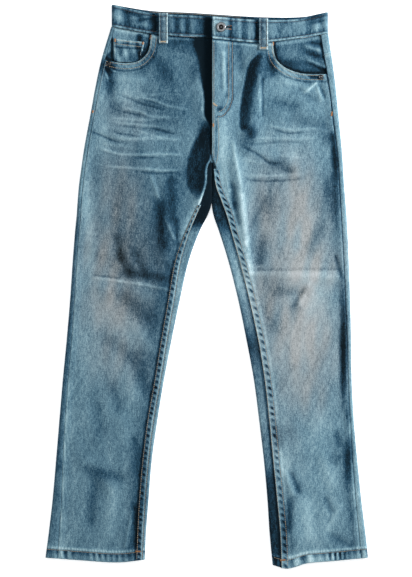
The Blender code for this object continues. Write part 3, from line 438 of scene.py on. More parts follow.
# Profiles of the metal, from the middle of the face to the foot: radius, height, tarnish
BUTTON_PROFILE = (
    (0, 2.5, 0.9), (0.8, 2.6, 0.7), (1.5, 2.35, 0.9), (2.1, 2, 1), (2.9, 1.95, 1), (3.3, 2.3, 1),
    (3.6, 3, 0.8), (4, 3.25, 0.25), (4.7, 3.3, 0.1), (5.1, 3.2, 0.6), (5.4, 3.3, 0.3),
    (6.1, 3.35, 0.1), (6.7, 3.1, 0.3), (7.1, 2.6, 0.8), (7.3, 2, 0.9), (7, 1.4, 0.9),
    (6, 0.7, 0.9), (3.6, 0, 0.9), (SHANK_RADIUS, -0.1, 0.9),
)
# A rivet's dull parts, marked None, are darker at the wearer's right
RIVET_PROFILE = (
    (0, 1.5, None), (0.7, 1.45, None), (1.2, 1.2, 0.6), (1.5, 0.8, 1), (2, 0.75, 1),
    (2.3, 1.05, 0.9), (2.7, 1.35, None), (3.1, 1.25, 0.8), (3.5, 0.8, 0.9), (3.6, 0.3, 0.8),
    (3.5, -0.4, 0.9), (0, -0.4, 0.9),
)


def blend(first, last, share):
    return first + (last - first) * share


def ease(share):
    share = np.clip(share, 0.0, 1.0)
    return share * share * (3.0 - 2.0 * share)


def bump(distance, reach):
    return np.exp(-((distance / reach) ** 2))


def turned(angle):
    """How far a fold has come round at an angle, from 0 to 1 at half a turn."""
    return (1.0 - np.cos(angle)) / 2


class Line:
    """A smooth line through a few points of a table, with the value at any place on it."""

    def __init__(self, places, values):
        order = np.argsort(places)
        self.places = np.array(places, float)[order]
        self.values = np.array(values, float)[order]
        rises = np.diff(self.values) / np.diff(self.places)
        self.slopes = np.concatenate(([rises[0]], (rises[1:] + rises[:-1]) / 2, [rises[-1]]))

    def __call__(self, place):
        place = np.clip(place, self.places[0], self.places[-1])
        i = np.clip(np.searchsorted(self.places, place, "right") - 1, 0, len(self.places) - 2)
        width = self.places[i + 1] - self.places[i]
        t = (place - self.places[i]) / width
        return ((2 * t**3 - 3 * t**2 + 1) * self.values[i]
                + (t**3 - 2 * t**2 + t) * width * self.slopes[i]
                + (3 * t**2 - 2 * t**3) * self.values[i + 1]
                + (t**3 - t**2) * width * self.slopes[i + 1])


def line_of(points):
    return Line([p[0] for p in points], [p[1] for p in points])


def path_of(points, count):
    """Points spaced along a smooth path through the given ones."""
    spread = np.linspace(0.0, len(points) - 1.0, count)
    return np.stack([Line(range(len(points)), way)(spread) for way in zip(*points)], axis=1)


class Leg:
    """One side of the garment: its outline, seams and hem."""

    def __init__(self, name, side, sections, hem, mouth, band_seam):
        self.name, self.side, self.mouth = name, side, mouth
        levels = [row[0] for row in sections]
        for at, column in enumerate(("outer", "outseam", "inseam", "inner"), start=1):
            setattr(self, column, Line(levels, [row[at] for row in sections]))
        self.hem = line_of(hem)
        self.band_seam = line_of(band_seam)
        self.mouth_path = path_of(mouth, 120)

    def outer_middle(self, y):
        return self.outer(y) - self.side * DENIM / 2

    def inner_middle(self, y):
        return self.inner(y) + self.side * DENIM / 2

    def hem_at(self, x, y=HEM_Y):
        across = (x - self.outer(y)) / (self.inner(y) - self.outer(y))
        return self.hem(np.clip(across, 0.0, 1.0))


RIGHT = Leg("right", -1, RIGHT_SECTIONS, HEM_RIGHT, MOUTH_RIGHT, BAND_SEAM_RIGHT)
LEFT = Leg("left", 1, LEFT_SECTIONS, HEM_LEFT, MOUTH_LEFT, BAND_SEAM_LEFT)
LEGS = (RIGHT, LEFT)
BACK_SEAM = line_of(BAND_SEAM_BACK)
TOP_FRONT, TOP_BACK = line_of(BAND_TOP_FRONT), line_of(BAND_TOP_BACK)


def segment(x, y, x0, y0, x1, y1, half_width):
    """How strongly a crease from one point to the other reaches each place, from 0 to 1."""
    ax, ay = x1 - x0, y1 - y0
    length = math.hypot(ax, ay)
    share = ((x - x0) * ax + (y - y0) * ay) / length**2
    away = ((x - x0) * ay - (y - y0) * ax) / length
    past_end = np.maximum(np.maximum(-share, share - 1.0), 0.0) * length
    return bump(away, half_width) * bump(past_end, 1.3 * half_width)


def fold_heights(x, y):
    height = 0.0
    for x0, y0, x1, y1, rise, half_width in FOLDS:
        height = height + rise * segment(x, y, x0, y0, x1, y1, half_width)
    return height


def fly_rise(x, y):
    lengthwise = ease((y - CROTCH_Y) / 60.0)
    return FLY_RISE * lengthwise * bump(x - FLY_EDGE_X, FLY_RISE_REACH)


def top_height(leg, x, y):
    """Middle of the upper layer of cloth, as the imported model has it."""
    rise = TOP_LAYER + np.maximum(fold_heights(x, y), -1.0)
    rise = rise + EDGE_RISE * bump(leg.outer_middle(y) - x, EDGE_RISE_REACH)
    inner = EDGE_RISE * bump(x - leg.inner_middle(y), EDGE_RISE_REACH)
    rise = rise + np.where(y < WRAPPED_Y, inner, 0.0)
    if leg.side > 0:
        rise = rise + fly_rise(x, y)
    return rise


def ripple(x, y, wavelength, seed):
    """A soft uneven rise and fall between about -1 and 1."""
    dice = np.random.default_rng(seed)
    total = 0.0
    for turn, stretch, phase in zip(dice.uniform(0, math.pi, 5), dice.uniform(0.7, 1.5, 5),
                                    dice.uniform(0, 2 * math.pi, 5)):
        along = x * math.cos(turn) + y * math.sin(turn)
        total = total + np.sin(2 * math.pi * along / (wavelength * stretch) + phase)
    return total / 3.0


def small_creases(x, y, creases):
    """Height and tone of the small creases at each place."""
    height, tone = np.zeros_like(x), np.zeros_like(x)
    for x0, y0, x1, y1, rise, half_width, shade in creases:
        reach = segment(x, y, x0, y0, x1, y1, half_width)
        height += rise * reach
        tone += shade * reach
    return 2.2 * np.tanh(height / 2.2), tone


def long_folds(x, y, lines):
    """Height and tone of the folds that run through several points, fading at their ends."""
    height, tone = np.zeros_like(x), np.zeros_like(x)
    for rise, half_width, shade, *points in lines:
        path = path_of(points, 24)
        gap = near_path(x, y, path)
        ends = np.minimum(np.hypot(x - path[0][0], y - path[0][1]),
                          np.hypot(x - path[-1][0], y - path[-1][1]))
        reach = bump(gap, 0.9 * half_width) * (0.10 + 0.90 * ease(ends / 16.0))
        height += rise * reach
        tone += 0.85 * shade * reach
    return height, tone


def patch_tones(x, y, patches):
    """Tone and grey rubbing of the larger patches at each place."""
    tone, grey = np.zeros_like(x), np.zeros_like(x)
    for cx, cy, half_width, half_length, lean, shade, rubbed in patches:
        turn = math.radians(lean)
        across = (x - cx) * math.cos(turn) + (y - cy) * math.sin(turn)
        along = (y - cy) * math.cos(turn) - (x - cx) * math.sin(turn)
        reach = np.exp(-(np.abs(across / half_width) ** 2.1) - np.abs(along / half_length) ** 2.1)
        tone += shade * reach
        grey = np.maximum(grey, rubbed * reach)
    return tone, grey


def near_path(x, y, path):
    """Distance of each place from a path."""
    flat_x, flat_y = x.ravel(), y.ravel()
    nearest = np.full(flat_x.shape, 1e9)
    for (x0, y0), (x1, y1) in zip(path[:-1, :2], path[1:, :2]):
        ax, ay = x1 - x0, y1 - y0
        share = np.clip(((flat_x - x0) * ax + (flat_y - y0) * ay) / (ax * ax + ay * ay), 0, 1)
        gap = np.hypot(flat_x - x0 - share * ax, flat_y - y0 - share * ay)
        nearest = np.minimum(nearest, gap)
    return nearest.reshape(x.shape)


def soft_box(x, y, x0, x1, y0, y1, soft):
    inside = ease((x - x0 + soft) / soft) * ease((x1 + soft - x) / soft)
    return inside * ease((y - y0 + soft) / soft) * ease((y1 + soft - y) / soft)


def under_rise(x, y):
    """How far the lower layer is lifted by the pockets and loops that lie beneath it."""
    rise = 0.0
    for centre in BACK_POCKET_X:
        half = BACK_POCKET_WIDTH / 2 + CELL
        low = BACK_POCKET_TOP_Y - BACK_POCKET_DEPTH - CELL
        inside = soft_box(x, y, centre - half, centre + half, low, BACK_POCKET_TOP_Y + CELL, CELL)
        rise = np.maximum(rise, STACK * inside)
    for _, centre, upper, lower in BACK_LOOPS:
        half = LOOP_WIDTH / 2 + CELL
        inside = soft_box(x, y, centre - half, centre + half, lower - CELL, upper + CELL, CELL)
        rise = np.maximum(rise, (LOOP + SEAM) * inside)
    return rise


def front_surface(leg, x, y):
    """Middle of the upper layer with its small creases, and the tone they give it."""
    height, tone = small_creases(x, y, FRONT_CREASES)
    fold, shade = long_folds(x, y, FRONT_LINES)
    height = height + fold + 0.2 * ripple(x, y, 34.0, 3)
    return top_height(leg, x, y) + height, tone + shade


def hem_relief(leg, x, y):
    """The turned-up hem: thicker below its stitching, with the twisted ridges of a washed hem."""
    up = y - leg.hem_at(x, np.minimum(y, -395.0))
    inside = 1.0 - ease((up - 11.5) / 2.0)
    phase = 2 * math.pi * (x + 0.1 * up) / 10.5 + 5.0 * ripple(x, 0 * y, 80.0, 11)
    twist = np.sin(phase) * inside * ease(up / 2.0) * (0.6 + 0.6 * ripple(x, 0 * y, 38.0, 5))
    height = 0.55 * inside + 0.5 * twist - 0.5 * bump(up - 12.8, 1.3) + 0.6 * bump(up - 16.5, 2.4)
    teeth = 1.0 + 0.5 * np.sin(2 * math.pi * x / 4.4 + 1.5 * ripple(x, 0 * y, 20.0, 7))
    # painted shade in the groove of the stitched row; the twisted ridges and upper edge are rubbed
    # lighter
    tone = 0.55 * twist + 0.60 * teeth * bump(up - 15.8, 1.9) - 0.75 * bump(up - 12.6, 1.2)
    tone = tone - 0.35 * bump(up - 9.5, 2.2) * (1.0 - twist)
    return height, tone + 0.25 * bump(up, 1.2)


def seam_relief(leg, x, y):
    """Puckers, ridges and grooves beside the seams of a leg, with a painted shadow left of each
    inseam and a painted highlight right of it.
    """
    left = leg.side > 0
    past_inseam = x - leg.inseam(y)
    from_inseam, from_outseam = np.abs(past_inseam), np.abs(x - leg.outseam(y))
    low = ease((CROTCH_Y - 4.0 - y) / 12.0)
    pull = np.sin(2 * math.pi * y / 9.0 + 2.0 * ripple(x, y, 50.0, 21))
    pull = pull * np.exp(-from_inseam / 6.0)
    # painted shadow left of the inseam's raised strip, painted highlight right of it
    painted_shadow_by_inseam = 0.95 if left else 0.8 * ease((84.0 - y) / 40.0)
    tone = low * (0.15 * pull - painted_shadow_by_inseam * bump(past_inseam + 6.6, 1.5)
                  + (0.35 if left else 0.25) * bump(past_inseam - 7.5, 2.0))
    if not left:
        tone = tone + 0.45 * bump(past_inseam + 5.0, 6.0) * bump(y - 88.0, 36.0)
    slow = np.sin(2 * math.pi * y / 31.0 + 3.0 * ripple(x, y, 90.0, 23))
    height = (0.35 * low * pull + 0.35 * (1.0 - ease((from_outseam - 7.0) / 2.0))
              - (0.60 if left else 0.45) * bump(from_outseam, 0.9)
              + 0.2 * slow * np.exp(-from_outseam / 7.0))
    inwards = leg.side * (leg.outseam(y) - x)
    if left:
        groove_at_outseam = ((0.25 + 0.45 * ease((y + 160.0) / 80.0))
                             * (1.0 + 1.6 * ease((y - 226.0) / 8.0)))
    else:
        groove_at_outseam = 0.30 * ease((300.0 - y) / 60.0)
    rough = 0.5 + 0.5 * ripple(x * 2.2, y / 4.0, 12.0, 29)
    tone = (tone + (0.28 if left else 0.18) * bump(inwards - 1.9, 1.2)
            - groove_at_outseam * bump(inwards, 0.8)
            + 0.45 * rough * bump(inwards - 2.0, 6.0) * ease((-120.0 - y) / 60.0))
    return height, tone


def mouth_relief(leg, x, y):
    """The sewn edge of the pocket mouth, and the puckers under the waistband, with painted shade
    outside the mouth's band and a painted shadow just under the waistband.
    """
    from_mouth = near_path(x, y, leg.mouth_path)
    under_band = leg.band_seam(x) - y
    faced = 1.0 - ease((from_mouth - 9.5) / 2.0)
    pull = np.sin(2 * math.pi * (x + y) / 8.0 + 2.0 * ripple(x, y, 40.0, 51))
    height = (0.35 * faced * (1 + 0.6 * pull) - 0.35 * bump(from_mouth - 1.9, 0.9)
              - 0.3 * bump(from_mouth - 8.4, 0.9)
              + 0.35 * bump(under_band - 4.5, 2.0) * (1 + np.sin(x / 1.3)))
    # painted shade outside the mouth's band, painted shadow just under the waistband's seam
    tone = (0.12 * faced * (1 + pull) + 0.45 * bump(from_mouth, 1.3)
            - 0.25 * bump(from_mouth - 8.4, 0.8) - 0.5 * bump(from_mouth - 11.5, 1.3)
            + 0.45 * bump(under_band - 4.5, 1.6) - 1.0 * bump(under_band, 2.0))
    return height, tone


def fly_relief(leg, x, y):
    """The doubled edge of the fly on the left front, with painted shade in the grooves of its rows,
    the valley beside it, painted dark as shade, and a painted shadow along the outer hip.
    """
    from_edge, from_row = x - FLY_EDGE_X, near_path(x, y, path_of(FLY_ROW_OUTER, 60))
    doubled = ease((40.0 - x) / 2.0) * ease((y - 250.0) / 6.0)
    tug = np.sin(y / 2.3 + 2.0 * ripple(x, y, 30.0, 61))
    height = (0.5 * doubled - 0.4 * bump(from_row, 1.0) - 0.35 * bump(from_edge - EDGE_ROW, 0.9)
              + 0.12 * doubled * tug * bump(x - 24.0, 8.0))
    # painted shade in the grooves of the fly's rows and between the rows below the fly
    tone = (0.6 * bump(from_edge, 1.3) * ease((y - 196.0) / 6.0) + 0.08 * doubled
            + 0.06 * tug * doubled * bump(x - 24.0, 9.0) - 0.85 * bump(from_row, 1.2)
            - 0.35 * bump(from_edge - EDGE_ROW, 0.8)
            - 0.55 * bump(x - 14.6, 1.3) * ease((251.0 - y) / 5.0) * ease((y - 186.0) / 8.0))
    # the valley is painted dark as shade, and the strip inside the outseam at the hip as a shadow
    valley = (ease((x - line_of(VALLEY_LEFT)(y) + 1.4) / 3.4)
              * ease((line_of(VALLEY_RIGHT)(y) - x + 1.0) / 12.0)
              * ease((y - 230.0) / 8.0) * ease((352.0 - y) / 8.0))
    wavy = 4.5 + 1.2 * ripple(x, y, 26.0, 63) - 1.5 * bump(y - 213.0, 6.0)
    hip = (bump(leg.outseam(y) - x - 4.0, wavy) * ease((236.0 - y) / 14.0)
           * ease((y - 150.0) / 30.0))
    return height - 1.4 * valley, tone - 1.15 * valley - 1.1 * hip


def hollow_relief(leg, x, y):
    """The hollow under the fly on the right front, painted dark as the fly's shadow with a painted
    highlight along its edge, and the painted shadow on the inner thigh with a painted highlight
    along the inseam.
    """
    from_hollow, from_seam = x - line_of(HOLLOW_EDGE)(y), leg.inseam(y) - x
    soft = line_of(HOLLOW_SOFT)(y)
    hollow = ease((from_hollow + soft * 0.7) / soft)
    thigh = ease((x - line_of(THIGH_EDGE)(y) + 3.0) / 7.5) * ease((254.0 - y) / 34.0)
    thigh = (1.05 * thigh + 0.5 * bump(from_seam - 6.0, 5.0)) * ease((y - 124.0) / 28.0)
    edge = bump(from_seam - 1.0, 1.5) * ease((208.0 - y) / 8.0) * ease((y - 112.0) / 16.0)
    # painted highlights at the hollow's edge and along the inseam; painted shadow in the hollow and
    # on the inner thigh
    tone = (0.55 * bump(from_hollow + 3.2, 1.5) * bump(y - 266.0, 22.0) + 1.8 * edge
            - 1.9 * hollow * ease((y - 180.0) / 8.0) - thigh * (y < 256.0))
    return -0.8 * hollow * bump(y - 300.0, 60.0), tone


def strip_tone(leg, x, y):
    """Tone of the back where it shows on top, outside the outseam and the inseam: painted shadow
    on the strip inside each inseam, darker low down outside the wearer's right outseam and lighter
    outside the left one.
    """
    outside = ease(leg.side * (x - leg.outseam(y)) / 2.0)
    inside = ease(leg.side * (leg.inseam(y) - x) / 2.0) * (y < WRAPPED_Y + 14.0)
    if leg.side < 0:
        outer = -0.45 * ease((150.0 - y) / 60.0) + 0.25 * ease((-310.0 - y) / 20.0)
        inner = -1.9 * ease((y - 78.0) / 28.0) + 0.15 * ease((40.0 - y) / 60.0)
    else:
        outer = 0.20
        inner = (-0.40 - 1.1 * ease((y - 72.0) / 40.0) - 0.7 * ease((-262.0 - y) / 45.0)
                 + 0.40 * bump(y - 112.0, 14.0) + 0.40 * bump(y - 36.0, 50.0)
                 - 0.45 * bump(y + 90.0, 26.0) + 0.30 * bump(y + 190.0, 60.0))
    return outside * outer + inside * inner


def wash(x, y, tone, patches):
    """Colour of the cloth at each place: its tone, with the patches' wash and painted light and
    shade, and how far it is rubbed grey.
    """
    patch, grey = patch_tones(x, y, patches)
    tone = tone + patch + 0.06 * ripple(x, y, 70.0, 31) + 0.05 * ripple(x, y / 2.5, 9.0, 37)
    grey = grey * (0.85 + 0.25 * ripple(x, y / 2.0, 22.0, 41))
    return tone, grey


def garment():
    """The collection that every piece goes into."""
    found = bpy.data.collections.get("Skinny jeans cloth")
    if not found:
        found = bpy.data.collections.new("Skinny jeans cloth")
        bpy.context.scene.collection.children.link(found)
    return found


def mesh_from(bm, name):
    mesh = bpy.data.meshes.new(name)
    bm.to_mesh(mesh)
    bm.free()
    return mesh


@contextmanager
def reshaping(mesh):
    """Opens a mesh for bmesh operators and writes it back."""
    bm = bmesh.new()
    bm.from_mesh(mesh)
    yield bm
    bm.to_mesh(mesh)
    bm.free()


def places_in(mesh):
    """Places of a mesh's vertices, one to a row."""
    flat = np.empty(len(mesh.vertices) * 3)
    mesh.vertices.foreach_get("co", flat)
    return flat.reshape(-1, 3)


def store(mesh, title, values):
    """Stores a value at each vertex, for the materials to read."""
    values = np.broadcast_to(values, (len(mesh.vertices),)).astype(np.float32)
    mesh.attributes.new(title, "FLOAT", "POINT").data.foreach_set("value", values)


def new_piece(name, mesh):
    mesh.shade_smooth()
    piece = bpy.data.objects.new(name, mesh)
    garment().objects.link(piece)
    return piece


def lay_out(name, place, across, along, wall=None, hole=None):
    """Cloth from a grid laid out by place(u, v) in millimetres, made thick. Returns the object
    and its flat size: width, length and area in metres."""
    bm = bmesh.new()
    bmesh.ops.create_grid(bm, x_segments=across, y_segments=along, size=0.5)
    mesh = mesh_from(bm, name)
    square = places_in(mesh) + 0.5
    u, v = square[:, 0], square[:, 1]
    x, y, z, tone, grey = place(u, v)
    places = np.stack(((x + OVERALL_SHIFT[0]) * MM, (y + OVERALL_SHIFT[1]) * MM, z * MM), axis=1)
    mesh.vertices.foreach_set("co", places.ravel())
    store(mesh, "tone", TONE_LIMIT * np.tanh(tone / TONE_LIMIT))
    store(mesh, "grey", grey)
    order = np.lexsort((np.round(u * across), np.round(v * along)))
    net = places[order].reshape(along + 1, across + 1, 3)
    flat = [float(np.linalg.norm(np.diff(net, axis=way), axis=2).sum(axis=way).max())
            for way in (1, 0)]
    corner = np.cross(net[1:, 1:] - net[:-1, :-1], net[1:, :-1] - net[:-1, 1:])
    flat.append(float(np.linalg.norm(corner, axis=2).sum() / 2))
    if hole:
        with reshaping(mesh) as bm:
            cut = [face for face in bm.faces if hole(face.calc_center_median() / MM)]
            bmesh.ops.delete(bm, geom=cut, context="FACES")
    piece = new_piece(name, mesh)
    shell = piece.modifiers.new("Cloth thickness", "SOLIDIFY")
    shell.thickness = (wall or round(choices().denim.wall / MM, 4)) * MM
    shell.offset = 0.0
    return piece, flat


def settle(piece, finish, node=None):
    """Gives a piece its material and its body, and hides the node that it stands for."""
    piece.data.materials.clear()
    piece.data.materials.append(finish)
    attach(piece, "root")
    if node:
        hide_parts(node)


def sew_on(cloth, node=None):
    """Settles a piece of cloth. The size it was cut to is rounded but not used."""
    piece, (width, length, area) = cloth
    settle(piece, denim(), node=node)
    width, length = round(width, 4), round(length, 4)


def panel_heights(v, rows, top_y, hem_y):
    """Heights of a panel's rows: down to the hips, down the leg and down to the hem. Returns
    how far each has come to the hips too."""
    row = v * sum(rows)
    to_hips, to_hem_turn, to_hem = (
        np.clip((row - sum(rows[:i])) / rows[i], 0.0, 1.0) for i in range(3))
    y = np.where(row > rows[0], blend(HIP_Y, LOWEST_ROW_Y, to_hem_turn),
                 blend(top_y, HIP_Y, to_hips))
    return np.where(to_hem > 0.0, blend(LOWEST_ROW_Y, hem_y, to_hem), y), to_hips


def front_cloth(leg):
    """A front panel, from the waistband and the pocket mouth down to the hem."""
    mouth_steps, band_steps = len(leg.mouth) - 1, 7
    mouth_x, mouth_y = (Line(range(len(leg.mouth)), way) for way in zip(*leg.mouth))
    inseam_x = float(leg.inseam(370.0))
    rows = (56, 390, 16)
    reliefs = (hem_relief, seam_relief, mouth_relief,
               fly_relief if leg.side > 0 else hollow_relief)

    def place(u, v):
        s = u * (mouth_steps + band_steps)
        on_band = np.clip((s - mouth_steps) / band_steps, 0.0, 1.0)
        band_x = blend(leg.mouth[-1][0], inseam_x, on_band)
        edge_x = np.where(s <= mouth_steps, mouth_x(s), band_x)
        edge_y = np.where(s <= mouth_steps, mouth_y(s), leg.band_seam(band_x) - SEAM)
        width = leg.inseam(edge_y) - leg.outseam(edge_y)
        share = np.where(u == 0.0, 0.0, (edge_x - leg.outseam(edge_y)) / width)
        low_x = blend(leg.outseam(LOWEST_ROW_Y), leg.inseam(LOWEST_ROW_Y), u)
        y, to_hips = panel_heights(v, rows, edge_y, leg.hem_at(low_x))
        x = blend(leg.outseam(y), leg.inseam(y), blend(share, u, to_hips))
        z, tone = front_surface(leg, x, y)
        for relief in reliefs:
            height, shade = relief(leg, x, y)
            z, tone = z + height, tone + shade
        return x, y, z, *wash(x, y, tone, FRONT_PATCHES)

    return lay_out(f"front_{leg.name}_cloth", place, 98, sum(rows))


def arc_point(leg, edge, reach, y, share):
    """Round a side fold, from the lower layer (share 0) to the upper (share 1)."""
    outwards = np.sign(edge - (leg.outer(y) + leg.inner(y)) / 2)
    foot = edge - outwards * reach
    low = DENIM / 2 + under_rise(foot, y)
    high = top_height(leg, foot, y)
    angle = math.pi * share
    x = foot + outwards * reach * np.sin(angle)
    return x, (low + high) / 2 - (high - low) / 2 * np.cos(angle)


def inner_turn(leg, y, column):
    """Columns of a back that slide round the inner edge, between the seat seam and the inseam."""
    side = leg.side
    share = ease((UNDER_RISE_Y - y) / (UNDER_RISE_Y - WRAPPED_Y))
    reach = blend(CROTCH_START, CROTCH_REACH, share)
    reach = blend(reach, ROLL, ease((WRAPPED_Y - y) / 40.0))
    edge = leg.inner_middle(y)
    foot = edge + side * reach
    half_rise = (top_height(leg, foot, y) - DENIM / 2) / 2
    arc = math.pi * (reach + half_rise) / 2
    strip = np.maximum(side * (leg.inseam(y) - foot) - SEAM, CROTCH_STRIP)
    wrapped = np.where(column < 1.0, arc + strip * (1.0 - column), arc * (1 - (column - 1) / 4))
    along = blend(CROTCH_START - CROTCH_SPACING * column, wrapped, share)
    under_x = foot - side * along
    arc_x, arc_z = arc_point(leg, edge, reach, y, np.clip(along / arc, 0.0, 1.0))
    touch = line_of(CROTCH_TOUCH)(y)
    arc_x = arc_x - side * touch * np.sin(math.pi * np.clip(along / arc, 0.0, 1.0))
    over_x = foot + side * (along - arc)
    beneath = (along <= 0.0) | (share == 0.0)
    x = np.where(beneath, under_x, np.where(along < arc, arc_x, over_x))
    under_z = DENIM / 2 + under_rise(under_x, y)
    z = np.where(beneath, under_z, np.where(along < arc, arc_z, top_height(leg, over_x, y)))
    return x, z


def back_section(leg, y, column):
    """x and z of a back panel's section at height y, from its inseam (column 0) round underneath
    to its outseam (column 18)."""
    side = leg.side
    outer_foot = leg.outer_middle(y) - side * ROLL
    turn_x, turn_z = inner_turn(leg, y, np.minimum(column, 5.0))
    last_x, _ = inner_turn(leg, y, 5.0)
    under_x = blend(last_x, outer_foot, np.clip((column - 5.0) / 8.0, 0.0, 1.0))
    under_z = DENIM / 2 + under_rise(under_x, y)
    share = np.clip((column - 13.0) / 4.0, 0.0, 1.0)
    arc_x, arc_z = arc_point(leg, leg.outer_middle(y), ROLL, y, share)
    over_x = blend(outer_foot, leg.outseam(y) + side * SEAM, np.clip(column - 17.0, 0.0, 1.0))
    over_z = top_height(leg, over_x, y)
    zones = [column <= 5.0, column <= 13.0, column <= 17.0]
    x = np.select(zones, [turn_x, under_x, arc_x], over_x)
    return x, np.select(zones, [turn_z, under_z, arc_z], over_z)


def back_relief(leg, x, y, z):
    """Adds creases to a back: the front's where it shows on top, its own underneath."""
    low, high = DENIM / 2 + under_rise(x, y), top_height(leg, x, y)
    upper = ease((z - low) / (high - low))
    over, over_tone = small_creases(x, y, FRONT_CREASES)
    under, under_tone = small_creases(x, y, BACK_CREASES)
    over = over + 0.2 * ripple(x, y, 34.0, 3)
    under = under + 0.35 * (1.0 + ripple(x, y, 60.0, 71))
    front, front_grey = wash(x, y, over_tone + strip_tone(leg, x, y), FRONT_PATCHES)
    behind, behind_grey = wash(x, y, under_tone, BACK_PATCHES)
    seam_height, seam_tone = seam_relief(leg, x, y)
    hem_height, hem_tone = hem_relief(leg, x, y)
    z = z + upper * (over + seam_height + hem_height) + (1.0 - upper) * under
    tone = blend(behind, front + seam_tone, upper) + hem_tone
    return z, tone, blend(behind_grey, front_grey, upper)


def yoke_line(leg, x):
    reach = abs(leg.outer(YOKE_SIDE_Y) - CENTRE_X)
    return blend(YOKE_CENTRE_Y, YOKE_SIDE_Y, np.clip(np.abs(x - CENTRE_X) / reach, 0.0, 1.0))


def back_piece(leg, name, heights, rows):
    """A piece of the back, folded round both sides, at the heights of heights(u, v, column)."""
    def place(u, v):
        column = np.interp(u, *COLUMN_SPREAD)
        y = heights(u, v, column)
        x, z = back_section(leg, y, column)
        z, tone, grey = back_relief(leg, x, y, z)
        return x, y, z, tone + 0.35 * bump(yoke_line(leg, x) - y, 1.6), grey

    return lay_out(f"{name}_{leg.name}_cloth", place, 92, rows)


def back_cloth(leg):
    """A back panel, from the yoke down to the hem."""
    rows = (14, 290, 14)

    def heights(u, v, column):
        top_x, _ = back_section(leg, np.full_like(u, YOKE_SIDE_Y), column)
        low_x, _ = back_section(leg, np.full_like(u, LOWEST_ROW_Y), column)
        return panel_heights(v, rows, yoke_line(leg, top_x) - SEAM, leg.hem_at(low_x))[0]

    return back_piece(leg, "back", heights, sum(rows))


def yoke_cloth(leg):
    """A back yoke, from the waistband down to the back panel."""
    def heights(u, v, column):
        x, _ = back_section(leg, np.full_like(u, YOKE_SIDE_Y), column)
        lower = upper = yoke_line(leg, x)
        for _ in range(4):
            x, _ = back_section(leg, upper, column)
            upper = np.where(column > 15.0, leg.band_seam(x), BACK_SEAM(x)) - 2 * SEAM
        return blend(upper, lower, v)

    return back_piece(leg, "yoke", heights, 30)


def seat_strip():
    """The felled allowance of the seat seam, inside the backs."""
    half, top_y, low_y = 5.5, 362.0, 193.0

    def place(u, v):
        x, y = blend(CENTRE_X - half, CENTRE_X + half, u), blend(top_y, low_y, v)
        height, _ = small_creases(x, y, BACK_CREASES)
        z = DENIM / 2 + under_rise(x, y) + height + 0.35 * (1.0 + ripple(x, y, 60.0, 71))
        # the strip's tone is painted dark as the shade it lies in between the backs
        return x, y, z + DENIM + 0.05, -0.6 + 0.1 * ripple(x, y, 20.0, 75), 0.0 * x

    return lay_out("seat_seam_strip", place, 6, 90)


def facing_cloth(leg):
    """The denim seen inside a front pocket's mouth, running on under the front panel."""
    mouth_line = line_of(sorted(leg.mouth[:-1]))
    first, last = leg.mouth[0][0], leg.mouth[-1][0] - leg.side * 10.0

    def place(u, v):
        low = mouth_line(blend(first, last, u)) - 10.0
        upper = leg.band_seam(blend(leg.outseam(372.0), last, u)) - SEAM
        y = blend(upper, low, v)
        x = blend(leg.outseam(y), last, u)
        z, tone = front_surface(leg, x, y)
        height, shade = small_creases(x, y, FACING_CREASES)
        from_mouth = near_path(x, y, leg.mouth_path)
        open_part = ease((from_mouth - 1.0) / 4.0)
        # painted shadow inside the mouth and along it; on the wearer's right, painted shadows
        # beside the coin pocket
        tone = (tone + shade + 0.5 * bump(upper - y - 4.0, 2.5) - 1.3 * (1.0 - open_part)
                - 0.5 * bump(from_mouth - 3.0, 6.0))
        if leg.side > 0:
            tone = tone - 0.35 - 0.5 * bump(x - 178.0, 6.0)
        else:
            tone = (tone - 1.7 * bump(x + 141.8, 1.6) * ease((374.0 - y) / 2.0)
                    + 0.35 * bump(x + 147.0, 3.5) - 1.3 * bump(x + 100.0, 5.0) * (y < 378.0))
        tone, grey = wash(x, y, tone, FRONT_PATCHES)
        return x, y, z - STACK - SLACK + height * open_part, tone, grey

    return lay_out(f"pocket_facing_{leg.name}_cloth", place, 54, 44)


def coin_cloth():
    """The coin pocket, whose foot runs on behind the right pocket's mouth."""
    upper_outer, upper_inner, lower_inner, lower_outer = COIN_POCKET
    mouth_line = line_of(sorted(RIGHT.mouth[:-1]))
    width, depth = 42.0, 28.0

    def place(u, v):
        low_x = blend(lower_outer[0], lower_inner[0], u)
        low_y = mouth_line(low_x) + DENIM / 2 + 3 * SEAM
        x = blend(blend(upper_outer[0], upper_inner[0], u), low_x, v)
        y = blend(blend(upper_outer[1], upper_inner[1], u), low_y, v)
        z, tone = front_surface(RIGHT, x, y)
        from_top = v * depth
        from_side = np.minimum(u, 1.0 - u) * width
        tug = np.sin(x / 1.25 + 1.5 * ripple(x, y, 30.0, 81))
        z = (z - SLACK + 0.3 * (1.0 - ease((from_top - 8.0) / 2.0)) * (1.0 + 0.5 * tug)
             - 0.3 * bump(from_top - 7.5, 0.9) + 0.2 * bump(from_side, 3.0))
        # painted shade below the top band and beside the side rows, and a painted shadow over the
        # lower inner part
        tone = (tone + 0.6 * bump(from_top, 1.6) + 0.5 * bump(from_side, 1.2)
                - 0.75 * bump(from_top - 9.8, 1.3) + 0.2 * tug * bump(from_top - 4.0, 4.0)
                - 0.6 * bump(from_side - 3.2, 1.2) + 0.45 * ripple(x, 0.3 * y, 9.0, 83)
                - 0.9 * bump(from_top - 4.6, 1.1) * bump(u - 0.5, 0.3)
                - 0.9 * ease((u - 0.62) / 0.3) * ease((from_top - 12.0) / 8.0))
        return x, y, z, *wash(x, y, tone, FRONT_PATCHES)

    return lay_out("coin_pocket_cloth", place, 30, 24)


